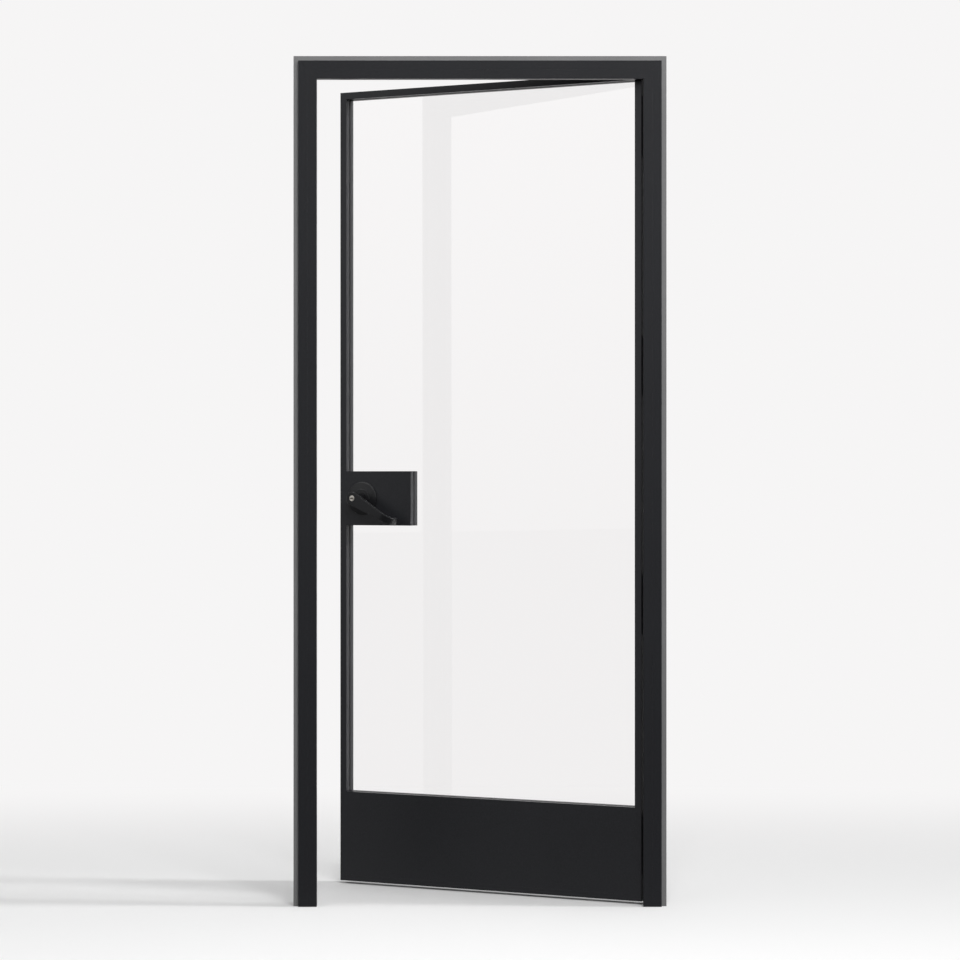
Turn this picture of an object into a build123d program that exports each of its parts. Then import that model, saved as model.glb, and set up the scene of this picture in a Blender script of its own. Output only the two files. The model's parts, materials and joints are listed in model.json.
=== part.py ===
from build123d import *
import math
import os

# Framed glass swing door in its frame, in millimetres.
# X runs to the right, Y away from the viewer and Z up.
# The origin is on the floor, midway between the jambs, in the frame's front plane.
# The leaf is drawn closed, and pose_leaf turns it about the hinge pins to the angle it stands at.

# How far a cut runs past the faces that it opens
OVERRUN = 1.0

# Frame
FRAME_WIDTH = 999.4
FRAME_HEIGHT = 2277.9
FRAME_DEPTH = 70.0
JAMB_FACE = 48.7
JAMB_WALL = 2.0
RABBET_WALL = 3.0
STOP_HEIGHT = 24.4
STOP_DEPTH = 22.0

# Track in the jamb that holds the stop
TRACK_MOUTH = 5.0
TRACK_LIP = 1.5
TRACK_WIDTH = 9.0
TRACK_DEPTH = 3.0
TRACK_BOSS = 2.0
TRACK_CLEARANCE = 0.2

# Perimeter channel between the frame and the wall
CHANNEL_WIDTH = 13.7
CHANNEL_SETBACK = 12.0
CHANNEL_WALL = 2.0
FIXING_RADIUS = 4.5
FIXING_PITCH = 190.0
HEAD_FIXING_PITCH = 600.0

# Seal in the stop
SEAL_GAP = 3.0
GROOVE_MOUTH = 3.0
GROOVE_LIP = 1.5
GROOVE_WIDTH = 6.0
GROOVE_DEPTH = 3.0
GROOVE_BOSS = 2.0
SEAL_BULB_WIDTH = 8.0
SEAL_WALL = 0.8
SEAL_ROUNDING = 0.45
SEAL_CLEARANCE = 0.3

# Leaf
LEAF_THICKNESS = 44.45
SIDE_GAP = 4.5
HEAD_GAP = 2.2
FLOOR_GAP = 9.3
OPEN_ANGLE = 25.0
STILE_FACE = 19.05
EDGE_WALL = 3.0
FACE_WALL = 2.0
STILE_CHAMBER = 5.25
POCKET_WALL = 1.8
POCKET_WIDTH = 11.5
POCKET_DEPTH = STILE_FACE - EDGE_WALL - STILE_CHAMBER - POCKET_WALL
BOTTOM_RAIL_HEIGHT = 251.7
BOTTOM_CAP_HEIGHT = 16.7
RAIL_WEBS = 2

# Glass and its gaskets
GLASS_THICKNESS = 6.4
GLASS_EDGE_GAP = 2.0
GLASS_BITE = POCKET_DEPTH - GLASS_EDGE_GAP
GASKET_FLOOR_GAP = 3.0
GASKET_DEPTH = POCKET_DEPTH - GASKET_FLOOR_GAP
GASKET_RECESS = 0.4
GASKET_CLEARANCE = 0.1
NOTCH_RADIUS = 5.0
SETTING_BLOCK_LENGTH = 100.0

# Corner keys, backing plates and tie rods
FRAME_KEY_LEG = 60.0
FRAME_KEY_WIDTH = 30.0
LEAF_KEY_LEG = 45.0
KEY_CLEARANCE = 0.3
BACKING_THICKNESS = 3.0
BACKING_MARGIN = 5.0
LEAF_BACKING_HEIGHT = 30.0
TIE_ROD_RADIUS = 4.0
TIE_ROD_INSET = 30.0
TIE_NUT_FLATS = 13.0
TIE_NUT_HEIGHT = 4.0

# Hinges
HINGE_COUNT = 4
HINGE_HEIGHT = 160.0
HINGE_TOP_DISTANCE = 142.2
HINGE_BOTTOM_DISTANCE = 152.2
KNUCKLE_RADIUS = 10.0
KNUCKLE_CLEARANCE = 1.45
KNUCKLE_GAP = 1.0
PLATE_THICKNESS = 2.0
PLATE_DEPTH = 36.0
PIN_RADIUS = 5.0
PIN_CLEARANCE = 0.05
PIN_CAP_RADIUS = 7.5
PIN_CAP_HEIGHT = 2.0
SCREW_RADIUS = 2.9
SCREW_HEAD_RADIUS = 4.8
SCREW_LENGTH = 9.0
SCREW_CLEARANCE = 0.1
SCREW_END_DISTANCE = 22.0
SCREW_EDGE_DISTANCE = 2.0

# Lock box and lock
LOCK_BOX_WIDTH = 222.0
LOCK_BOX_HEIGHT = 152.4
LOCK_BOX_WALL = 2.5
LOCK_HEIGHT = 1090.5
BACKSET = 69.85
LOCK_BORE_RADIUS = 27.0
CHASSIS_CLEARANCE = 0.5
CHASSIS_WALL = 2.5
CHASSIS_PLATE = 5.0
SPINDLE_RADIUS = 8.0
SPINDLE_WALL = 1.5
TURNING_CLEARANCE = 0.3
FIT_CLEARANCE = 0.05
THROUGH_BOLT_RADIUS = 2.4
THROUGH_BOLT_CIRCLE = 19.0

# Latch and strike
LATCH_CASE_RADIUS = 12.4
LATCH_CASE_LENGTH = 44.0
LATCH_THROW = 12.7
LATCH_WIDTH = 12.0
LATCH_HEIGHT = 16.0
LATCH_BODY_LENGTH = 24.0
LATCH_TAIL_LENGTH = 14.0
LATCH_TAIL_WIDTH = 4.0
LATCH_TAIL_HEIGHT = 11.0
LATCH_CLEARANCE = 0.3
LATCH_SHOULDER = 1.0
LATCH_NOSE = 1.5
FACEPLATE_HEIGHT = 57.0
FACEPLATE_WIDTH = 25.4
FACEPLATE_THICKNESS = 2.0
FACEPLATE_CORNER = 4.0
FACEPLATE_CLEARANCE = 0.15
STRIKE_HEIGHT = 124.0
STRIKE_WIDTH = 32.0
STRIKE_LIP_HEIGHT = 36.0
STRIKE_LIP_RADIUS = 3.0
STRIKE_HOLE_MARGIN = 2.0
STRIKE_CLEARANCE = 0.2
STRIKE_BOX_DEPTH = 16.0
STRIKE_BOX_WALL = 1.2
SMALL_SCREW_RADIUS = 2.0
SMALL_SCREW_HEAD = 3.6
SMALL_SCREW_LENGTH = 12.0

# Roses and levers
ROSE_RADIUS = 46.0
ROSE_EDGE = 3.0
ROSE_BEVEL = 2.0
ROSE_CROWN = 1.2
ROSE_WALL = 1.6
HUB_RADIUS = 25.0
HUB_HEIGHT = 11.0
HUB_DRAFT = 1.0
LEVER_DROP_ANGLE = 29.5
LEVER_PROJECTION = 64.0
LEVER_REACH = 135.0
LEVER_HEAD_RADIUS = 18.0
LEVER_NECK_RADIUS = 14.0
LEVER_TIP_WIDTH = 19.5
LEVER_TAPER_END = 113.0
LEVER_THICKNESS = 12.0
LEVER_BEND_RADIUS = 34.0
LEVER_TIP_CLEARANCE = 14.0
LEVER_EDGE = 1.2
LEVER_THROAT = 4.0
CYLINDER_RADIUS = 9.3
CYLINDER_LENGTH = 24.0
CYLINDER_FLOOR = 2.0
PLUG_RADIUS = 6.3
KEYWAY_LENGTH = 8.6
KEYWAY_WIDTH = 1.6
KEYWAY_BULGE = 3.2
KEYWAY_DEPTH = 18.0
TURN_GRIP_LENGTH = 15.0
TURN_GRIP_WIDTH = 4.4
TURN_GRIP_HEIGHT = 8.0
TURN_STEM_RADIUS = 5.0
TURN_DISC_RADIUS = 9.3
TURN_DISC_THICKNESS = 2.0

# Places worked out from the sizes above
HALF_WIDTH = FRAME_WIDTH / 2
JAMB_OUT = HALF_WIDTH - CHANNEL_WIDTH
STOP_EDGE = JAMB_OUT - JAMB_FACE
RABBET = STOP_EDGE + STOP_HEIGHT
RABBET_DEPTH = JAMB_FACE - STOP_HEIGHT
HEAD_OUT = FRAME_HEIGHT - CHANNEL_WIDTH
HEAD_RABBET = HEAD_OUT - RABBET_DEPTH
LEAF_HALF = RABBET - SIDE_GAP
LEAF_TOP = HEAD_RABBET - HEAD_GAP
LEAF_BOTTOM = FLOOR_GAP
LEAF_NEAR = STOP_DEPTH + SEAL_GAP
LEAF_FAR = LEAF_NEAR + LEAF_THICKNESS
LEAF_MID = (LEAF_NEAR + LEAF_FAR) / 2
STILE_INNER = LEAF_HALF - STILE_FACE
GLASS_TOP_EDGE = LEAF_TOP - STILE_FACE
CAP_TOP = LEAF_BOTTOM + BOTTOM_CAP_HEIGHT
RAIL_TOP = LEAF_BOTTOM + BOTTOM_RAIL_HEIGHT
SEAL_PLACE = RABBET_DEPTH + STOP_HEIGHT / 2
HINGE_X = RABBET - SIDE_GAP / 2
HINGE_Y = max(LEAF_FAR, FRAME_DEPTH) + KNUCKLE_RADIUS + KNUCKLE_CLEARANCE
HINGE_TOP_Z = LEAF_TOP - HINGE_TOP_DISTANCE
HINGE_BOTTOM_Z = LEAF_BOTTOM + HINGE_BOTTOM_DISTANCE
HINGE_SPACING = (HINGE_TOP_Z - HINGE_BOTTOM_Z) / (HINGE_COUNT - 1)
KNUCKLE_HEIGHT = (HINGE_HEIGHT - 2 * KNUCKLE_GAP) / 3
PLATE_INNER_Y = LEAF_FAR - PLATE_DEPTH
LOCK_X = BACKSET - LEAF_HALF
BOX_LEFT = -STILE_INNER
BOX_RIGHT = LOCK_BOX_WIDTH - LEAF_HALF
BOX_BOTTOM = LOCK_HEIGHT - LOCK_BOX_HEIGHT / 2
BOX_TOP = LOCK_HEIGHT + LOCK_BOX_HEIGHT / 2
BEND_START = LEVER_REACH - LEVER_BEND_RADIUS
LEVER_BACK = LEVER_PROJECTION - LEVER_THICKNESS


def slab(u0, v0, u1, v1):
    """Rectangle between two corners, drawn flat."""
    return Pos((u0 + u1) / 2, (v0 + v1) / 2) * Rectangle(abs(u1 - u0), abs(v1 - v0))


def brick(x0, y0, z0, x1, y1, z1):
    """Box between two corners."""
    return Pos(x0, y0, z0) * Box(x1 - x0, y1 - y0, z1 - z0, align=(Align.MIN, Align.MIN, Align.MIN))


def rod(start, direction, radius, length):
    """Round rod from a start point along a direction."""
    return extrude(Plane(origin=start, z_dir=direction) * Circle(radius), amount=length)


def screw(start, direction, head_radius, radius, length):
    """Countersunk screw whose flat head lies at the start point."""
    head = head_radius - radius
    outline = Polyline((0, 0), (head_radius, 0), (radius, head), (radius, length), (0, length), close=True)
    turned = revolve(Plane.XZ * make_face(outline), Axis.Z)
    return Plane(origin=start, z_dir=direction).location * turned


def group(solids):
    """Separate solids kept together as one piece of hardware."""
    return Compound([part.solid() for part in solids])


def pose_leaf(shape):
    """Turn a piece drawn on the closed leaf about the hinge pins to where it stands."""
    return Pos(HINGE_X, HINGE_Y, 0) * Rot(0, 0, -OPEN_ANGLE) * Pos(-HINGE_X, -HINGE_Y, 0) * shape


def other_side(shape):
    """The same piece on the right of the doorway."""
    return mirror(shape, about=Plane.YZ)


def far_face(shape):
    """The same piece on the other face of the leaf."""
    return mirror(shape, about=Plane(origin=(0, LEAF_MID, 0), z_dir=(0, 1, 0)))


def left_length(profile, edge, bottom):
    """Upright length on the left, from a section with u to the right, mitred at the top corner."""
    upright = extrude(Pos(-edge, 0, bottom) * profile, amount=FRAME_HEIGHT)
    return split(upright, bisect_by=mitre_plane(), keep=Keep.BOTTOM)


def head_length(profile, edge, top):
    """Level length across the head, from a section with u downwards, mitred at both ends."""
    level = Plane(origin=(-edge, 0, top), x_dir=(0, 0, -1), z_dir=(1, 0, 0))
    length = extrude(level * profile, amount=2 * edge)
    left = split(length, bisect_by=mitre_plane(), keep=Keep.TOP)
    return split(left, bisect_by=other_mitre_plane(), keep=Keep.TOP)


def mitre_plane():
    """Plane of the frame's left mitre, which points up and to the right."""
    return Plane(origin=(-JAMB_OUT, 0, HEAD_OUT), z_dir=(1, 0, 1))


def other_mitre_plane():
    """Plane of the frame's right mitre."""
    return Plane(origin=(JAMB_OUT, 0, HEAD_OUT), z_dir=(-1, 0, 1))


def hinge_heights():
    """Heights of the hinges' centres, from the bottom up."""
    return [HINGE_BOTTOM_Z + HINGE_SPACING * step for step in range(HINGE_COUNT)]


# Frame


def jamb_profile():
    """Section of the frame extrusion: two chambers and the track for the stop."""
    inner = RABBET_DEPTH - RABBET_WALL
    front = slab(JAMB_WALL, JAMB_WALL, inner, STOP_DEPTH - JAMB_WALL)
    rear = slab(JAMB_WALL, STOP_DEPTH, inner, FRAME_DEPTH - JAMB_WALL)
    boss_half = TRACK_WIDTH / 2 + TRACK_BOSS
    boss_depth = TRACK_LIP + TRACK_DEPTH + TRACK_BOSS
    middle = STOP_DEPTH / 2
    boss = slab(RABBET_DEPTH - boss_depth, middle - boss_half, RABBET_DEPTH, middle + boss_half)
    return slab(0, 0, RABBET_DEPTH, FRAME_DEPTH) - front - rear + boss - stop_track(0)


def stop_track(clearance):
    """Shape of the stop's track, or of the foot that fits it with a clearance all round."""
    middle = STOP_DEPTH / 2
    half_mouth = TRACK_MOUTH / 2 - clearance
    half_width = TRACK_WIDTH / 2 - clearance
    deep = RABBET_DEPTH - TRACK_LIP
    bottom = deep - TRACK_DEPTH + clearance
    mouth = slab(bottom, middle - half_mouth, RABBET_DEPTH, middle + half_mouth)
    return mouth + slab(bottom, middle - half_width, deep - clearance, middle + half_width)


def stop_profile():
    """Section of the hollow stop, with its foot in the jamb's track and the groove for its seal."""
    body = slab(RABBET_DEPTH, 0, JAMB_FACE, STOP_DEPTH)
    inside = slab(
        RABBET_DEPTH + JAMB_WALL, JAMB_WALL, JAMB_FACE - JAMB_WALL, STOP_DEPTH - JAMB_WALL,
    )
    boss_half = GROOVE_WIDTH / 2 + GROOVE_BOSS
    boss_depth = GROOVE_LIP + GROOVE_DEPTH + GROOVE_BOSS
    boss = slab(SEAL_PLACE - boss_half, STOP_DEPTH - boss_depth, SEAL_PLACE + boss_half, STOP_DEPTH)
    return body - inside + boss - seal_groove(0) + stop_track(TRACK_CLEARANCE)


def seal_groove(clearance):
    """Shape of the seal's groove, or of the foot that fits it with a clearance all round."""
    half_mouth = GROOVE_MOUTH / 2 - clearance
    half_width = GROOVE_WIDTH / 2 - clearance
    deep = STOP_DEPTH - GROOVE_LIP
    bottom = deep - GROOVE_DEPTH + clearance
    mouth = slab(SEAL_PLACE - half_mouth, bottom, SEAL_PLACE + half_mouth, STOP_DEPTH)
    return mouth + slab(SEAL_PLACE - half_width, bottom, SEAL_PLACE + half_width, deep - clearance)


def seal_profile():
    """Section of the bulb seal, with its foot in the groove and its bulb as the closed leaf leaves it."""
    height = SEAL_GAP - SEAL_CLEARANCE
    middle = STOP_DEPTH + height / 2
    bulb = Pos(SEAL_PLACE, middle) * RectangleRounded(SEAL_BULB_WIDTH, height, height * SEAL_ROUNDING)
    hollow = Pos(SEAL_PLACE, middle) * Rectangle(SEAL_BULB_WIDTH - height, height - 2 * SEAL_WALL)
    return seal_groove(SEAL_CLEARANCE) + bulb - hollow


def channel_profile():
    """Section of the perimeter channel, a closed box with one wide wall on the jamb and one to the wall."""
    outer = slab(0, CHANNEL_SETBACK, CHANNEL_WIDTH, FRAME_DEPTH - CHANNEL_SETBACK)
    inner_near = CHANNEL_SETBACK + CHANNEL_WALL
    inner_far = FRAME_DEPTH - CHANNEL_SETBACK - CHANNEL_WALL
    return outer - slab(CHANNEL_WALL, inner_near, CHANNEL_WIDTH - CHANNEL_WALL, inner_far)


def jamb_fixing_heights():
    """Heights of the wall fixings: a pair in the lowest and in the highest space between hinges."""
    low = HINGE_BOTTOM_Z + HINGE_SPACING / 2
    high = HINGE_TOP_Z - HINGE_SPACING / 2
    return [middle + offset for middle in (low, high) for offset in (-FIXING_PITCH / 2, FIXING_PITCH / 2)]


def jamb_fixing_holes():
    """Level holes for the wall fixings through the left channel and jamb."""
    start_x = -HALF_WIDTH - OVERRUN
    length = CHANNEL_WIDTH + RABBET_DEPTH + 2 * OVERRUN
    holes = Part()
    for height in jamb_fixing_heights():
        holes += rod((start_x, FRAME_DEPTH / 2, height), (1, 0, 0), FIXING_RADIUS, length)
    return holes


def head_fixing_holes():
    """Upright holes for the head's fixings through the head channel and head."""
    start_z = FRAME_HEIGHT + OVERRUN
    length = CHANNEL_WIDTH + RABBET_DEPTH + 2 * OVERRUN
    holes = Part()
    for x in (-HEAD_FIXING_PITCH / 2, HEAD_FIXING_PITCH / 2):
        holes += rod((x, FRAME_DEPTH / 2, start_z), (0, 0, -1), FIXING_RADIUS, length)
    return holes


def strike_jamb():
    """Left jamb, with the recess and the hole for the strike."""
    jamb = left_length(jamb_profile(), JAMB_OUT, 0) - jamb_fixing_holes()
    recess = strike_outline(STRIKE_CLEARANCE)
    pocket = strike_hole(STRIKE_BOX_WALL + STRIKE_CLEARANCE, RABBET_WALL + OVERRUN)
    jamb = jamb - recess - pocket
    for height in strike_screw_heights():
        jamb -= strike_screw(height, SCREW_CLEARANCE)
    return jamb


def hinge_jamb():
    """Right jamb, with the holes for the hinge screws."""
    jamb = other_side(left_length(jamb_profile(), JAMB_OUT, 0) - jamb_fixing_holes())
    for height in hinge_heights():
        for place in hinge_screw_places(height):
            jamb -= frame_screw(place, SCREW_CLEARANCE)
    return jamb


def head_jamb():
    """Head of the frame, mitred to both jambs."""
    return head_length(jamb_profile(), JAMB_OUT, HEAD_OUT) - head_fixing_holes()


def side_stop():
    """Left length of the stop."""
    return left_length(stop_profile(), JAMB_OUT, 0)


def head_stop():
    """Head length of the stop."""
    return head_length(stop_profile(), JAMB_OUT, HEAD_OUT)


def side_channel():
    """Left perimeter channel."""
    return left_length(channel_profile(), HALF_WIDTH, 0) - jamb_fixing_holes()


def head_channel():
    """Perimeter channel over the head."""
    return head_length(channel_profile(), HALF_WIDTH, FRAME_HEIGHT) - head_fixing_holes()


def side_seal():
    """Left length of the bulb seal."""
    return left_length(seal_profile(), JAMB_OUT, 0)


def head_seal():
    """Head length of the bulb seal."""
    return head_length(seal_profile(), JAMB_OUT, HEAD_OUT)


def frame_corner_key():
    """Right-angled key in the rear chambers of the left jamb and the head."""
    low = JAMB_WALL + KEY_CLEARANCE
    high = RABBET_DEPTH - RABBET_WALL - KEY_CLEARANCE
    near = (STOP_DEPTH + FRAME_DEPTH - JAMB_WALL - FRAME_KEY_WIDTH) / 2
    leg = high + FRAME_KEY_LEG
    upright = brick(low, near, -leg, high, near + FRAME_KEY_WIDTH, -low)
    level = brick(low, near, -high, leg, near + FRAME_KEY_WIDTH, -low)
    return Pos(-JAMB_OUT, 0, HEAD_OUT) * (upright + level)


# Strike


def strike_outline(clearance):
    """Strike plate's body and lip, flush in the rabbet, grown by a clearance in its own plane."""
    x0 = -RABBET - FACEPLATE_THICKNESS
    half = STRIKE_HEIGHT / 2 + clearance
    near = LEAF_MID - STRIKE_WIDTH / 2 - clearance
    far = LEAF_MID + STRIKE_WIDTH / 2 + clearance
    lip = STRIKE_LIP_HEIGHT / 2 + clearance
    plate = brick(x0, near, LOCK_HEIGHT - half, -RABBET, far, LOCK_HEIGHT + half)
    return plate + brick(x0, near, LOCK_HEIGHT - lip, -RABBET, FRAME_DEPTH, LOCK_HEIGHT + lip)


def strike_hole(margin, depth):
    """Space for the latch in the strike, grown by a margin and run to a depth."""
    half_y = LATCH_WIDTH / 2 + STRIKE_HOLE_MARGIN + margin
    half_z = LATCH_HEIGHT / 2 + STRIKE_HOLE_MARGIN + margin
    return brick(
        -RABBET - depth, LEAF_MID - half_y, LOCK_HEIGHT - half_z,
        -RABBET + OVERRUN, LEAF_MID + half_y, LOCK_HEIGHT + half_z,
    )


def strike_screw_heights():
    """Heights of the strike's two screws."""
    offset = STRIKE_HEIGHT / 2 - SCREW_END_DISTANCE / 2
    return [LOCK_HEIGHT - offset, LOCK_HEIGHT + offset]


def strike_screw(height, clearance):
    """Screw through the strike into the rabbet wall."""
    start = (-RABBET, LEAF_MID, height)
    radius = SMALL_SCREW_RADIUS + clearance
    return screw(start, (-1, 0, 0), SMALL_SCREW_HEAD + clearance, radius, SMALL_SCREW_LENGTH)


def strike_plate():
    """Strike with its hole and the lip that curls round the jamb's rear corner."""
    plate = strike_outline(0) - strike_hole(0, FACEPLATE_THICKNESS + OVERRUN)
    for height in strike_screw_heights():
        plate -= strike_screw(height, SCREW_CLEARANCE)
    curl = Circle(STRIKE_LIP_RADIUS) & slab(-STRIKE_LIP_RADIUS, 0, 0, STRIKE_LIP_RADIUS)
    lip = extrude(curl, amount=STRIKE_LIP_HEIGHT)
    return plate + Pos(-RABBET, FRAME_DEPTH, LOCK_HEIGHT - STRIKE_LIP_HEIGHT / 2) * lip


def strike_box():
    """Open box behind the strike that the latch shoots into."""
    wall_depth = RABBET_WALL
    outer = strike_hole(STRIKE_BOX_WALL, wall_depth + STRIKE_BOX_DEPTH)
    inner = strike_hole(0, wall_depth + STRIKE_BOX_DEPTH - STRIKE_BOX_WALL)
    front = brick(-RABBET - FACEPLATE_THICKNESS, 0, 0, 0, FRAME_DEPTH, FRAME_HEIGHT)
    return outer - inner - front


# Hinges


def knuckle_ring(height, low, high, radius):
    """Round sleeve on the hinge axis between two levels measured from a hinge's lower end."""
    base = height - HINGE_HEIGHT / 2
    return rod((HINGE_X, HINGE_Y, base + low), (0, 0, 1), radius, high - low)


def hinge_screw_places(height):
    """Depth and height of a hinge plate's four screws."""
    offset = HINGE_HEIGHT / 2 - SCREW_END_DISTANCE
    inset = SCREW_HEAD_RADIUS + SCREW_EDGE_DISTANCE
    columns = (PLATE_INNER_Y + inset, LEAF_FAR - inset)
    return [(y, height + z) for y in columns for z in (-offset, offset)]


def frame_screw(place, clearance):
    """Hinge screw through the frame's plate into the jamb."""
    start = (RABBET - PLATE_THICKNESS, place[0], place[1])
    radius = SCREW_RADIUS + clearance
    return screw(start, (1, 0, 0), SCREW_HEAD_RADIUS + clearance, radius, SCREW_LENGTH + clearance)


def leaf_screw(place, clearance):
    """Hinge screw through the leaf's plate into the stile."""
    start = (LEAF_HALF + PLATE_THICKNESS, place[0], place[1])
    radius = SCREW_RADIUS + clearance
    return screw(start, (-1, 0, 0), SCREW_HEAD_RADIUS + clearance, radius, SCREW_LENGTH + clearance)


def hinge_frame_half(height):
    """Jamb's plate with the upper and the lower knuckle."""
    low = height - HINGE_HEIGHT / 2
    plate = brick(RABBET - PLATE_THICKNESS, PLATE_INNER_Y, low, RABBET, HINGE_Y, low + HINGE_HEIGHT)
    middle_low = KNUCKLE_HEIGHT
    middle_high = HINGE_HEIGHT - KNUCKLE_HEIGHT
    plate -= knuckle_ring(height, middle_low, middle_high, KNUCKLE_RADIUS + TURNING_CLEARANCE)
    plate += knuckle_ring(height, 0, KNUCKLE_HEIGHT, KNUCKLE_RADIUS)
    plate += knuckle_ring(height, middle_high, HINGE_HEIGHT, KNUCKLE_RADIUS)
    plate -= knuckle_ring(height, 0, HINGE_HEIGHT, PIN_RADIUS + PIN_CLEARANCE)
    for place in hinge_screw_places(height):
        plate -= frame_screw(place, SCREW_CLEARANCE)
    return plate


def hinge_leaf_half(height):
    """Leaf's plate with the middle knuckle."""
    low = height - HINGE_HEIGHT / 2
    plate = brick(LEAF_HALF, PLATE_INNER_Y, low, LEAF_HALF + PLATE_THICKNESS, HINGE_Y, low + HINGE_HEIGHT)
    first_top = KNUCKLE_HEIGHT + KNUCKLE_GAP
    last_bottom = HINGE_HEIGHT - KNUCKLE_HEIGHT - KNUCKLE_GAP
    plate -= knuckle_ring(height, 0, first_top, KNUCKLE_RADIUS + TURNING_CLEARANCE)
    plate -= knuckle_ring(height, last_bottom, HINGE_HEIGHT, KNUCKLE_RADIUS + TURNING_CLEARANCE)
    plate += knuckle_ring(height, first_top, last_bottom, KNUCKLE_RADIUS)
    plate -= knuckle_ring(height, 0, HINGE_HEIGHT, PIN_RADIUS + PIN_CLEARANCE)
    for place in hinge_screw_places(height):
        plate -= leaf_screw(place, SCREW_CLEARANCE)
    return plate


def hinge_pin(height):
    """Hinge pin with a chamfered cap at each end."""
    pin = knuckle_ring(height, 0, HINGE_HEIGHT, PIN_RADIUS)
    cap_top = knuckle_ring(height, HINGE_HEIGHT, HINGE_HEIGHT + PIN_CAP_HEIGHT, PIN_CAP_RADIUS)
    cap_bottom = knuckle_ring(height, -PIN_CAP_HEIGHT, 0, PIN_CAP_RADIUS)
    caps = chamfer(cap_top.edges().group_by(Axis.Z)[-1], PIN_CAP_HEIGHT / 2)
    feet = chamfer(cap_bottom.edges().group_by(Axis.Z)[0], PIN_CAP_HEIGHT / 2)
    return pin + caps + feet


def frame_backing_plate(height):
    """Threaded plate inside the jamb behind a hinge."""
    half = HINGE_HEIGHT / 2 - BACKING_MARGIN
    x0 = RABBET + RABBET_WALL
    near = STOP_DEPTH + BACKING_MARGIN
    far = FRAME_DEPTH - JAMB_WALL - KEY_CLEARANCE
    plate = brick(x0, near, height - half, x0 + BACKING_THICKNESS, far, height + half)
    for place in hinge_screw_places(height):
        plate -= frame_screw(place, SCREW_CLEARANCE)
    return plate


def leaf_backing_plates(height):
    """Two threaded plates inside the hinge stile, behind a hinge's upper and lower screws."""
    half = LEAF_BACKING_HEIGHT / 2
    x1 = LEAF_HALF - EDGE_WALL
    near = LEAF_NEAR + FACE_WALL + KEY_CLEARANCE
    far = LEAF_FAR - FACE_WALL - KEY_CLEARANCE
    plates = []
    for row in sorted({place[1] for place in hinge_screw_places(height)}):
        plate = brick(x1 - BACKING_THICKNESS, near, row - half, x1, far, row + half)
        for place in hinge_screw_places(height):
            plate -= leaf_screw(place, SCREW_CLEARANCE)
        plates.append(plate)
    return plates


# Leaf


def stile_profile():
    """Section of the slim leaf extrusion, with the glazing pocket on its inner side."""
    outer = slab(0, 0, STILE_FACE, LEAF_THICKNESS)
    inside = slab(EDGE_WALL, FACE_WALL, STILE_FACE - FACE_WALL, LEAF_THICKNESS - FACE_WALL)
    middle = LEAF_THICKNESS / 2
    half = POCKET_WIDTH / 2
    floor = STILE_FACE - POCKET_DEPTH
    shell = slab(floor - POCKET_WALL, middle - half - POCKET_WALL, STILE_FACE, middle + half + POCKET_WALL)
    pocket = slab(floor, middle - half, STILE_FACE, middle + half)
    return Pos(0, LEAF_NEAR) * (outer - (inside - shell) - pocket)


def leaf_mitre_plane():
    """Plane of the leaf's top left mitre, which points up and to the right."""
    return Plane(origin=(-LEAF_HALF, 0, LEAF_TOP), z_dir=(1, 0, 1))


def plain_stile():
    """Left stile, mitred at the top."""
    stile = extrude(Pos(-LEAF_HALF, 0, LEAF_BOTTOM) * stile_profile(), amount=LEAF_TOP)
    stile = split(stile, bisect_by=leaf_mitre_plane(), keep=Keep.BOTTOM)
    for height in tie_rod_heights():
        start = (-STILE_INNER + OVERRUN, LEAF_MID, height)
        depth = POCKET_DEPTH + POCKET_WALL + 2 * OVERRUN
        stile -= rod(start, (-1, 0, 0), TIE_ROD_RADIUS + TURNING_CLEARANCE, depth)
    return stile


def lock_stile():
    """Free stile, with the recess for the latch's faceplate and the hole for its case."""
    stile = plain_stile()
    stile -= faceplate_outline(FACEPLATE_CLEARANCE)
    start = (-LEAF_HALF - OVERRUN, LEAF_MID, LOCK_HEIGHT)
    stile -= rod(start, (1, 0, 0), LATCH_CASE_RADIUS + LATCH_CLEARANCE, STILE_FACE + 2 * OVERRUN)
    for height in faceplate_screw_heights():
        stile -= faceplate_screw(height, SCREW_CLEARANCE)
    return stile


def hinge_stile():
    """Hinge stile, with the holes for the hinge screws."""
    stile = other_side(plain_stile())
    for height in hinge_heights():
        for place in hinge_screw_places(height):
            stile -= leaf_screw(place, SCREW_CLEARANCE)
    return stile


def top_rail():
    """Top rail, of the stiles' section and mitred to them."""
    level = Plane(origin=(-LEAF_HALF, 0, LEAF_TOP), x_dir=(0, 0, -1), z_dir=(1, 0, 0))
    rail = extrude(level * stile_profile(), amount=2 * LEAF_HALF)
    rail = split(rail, bisect_by=leaf_mitre_plane(), keep=Keep.TOP)
    right = Plane(origin=(LEAF_HALF, 0, LEAF_TOP), z_dir=(-1, 0, 1))
    return split(rail, bisect_by=right, keep=Keep.TOP)


def level_plane():
    """Plane across the leaf whose sections have Y first and Z second."""
    return Plane(origin=(-STILE_INNER, 0, 0), x_dir=(0, 1, 0), z_dir=(1, 0, 0))


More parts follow.
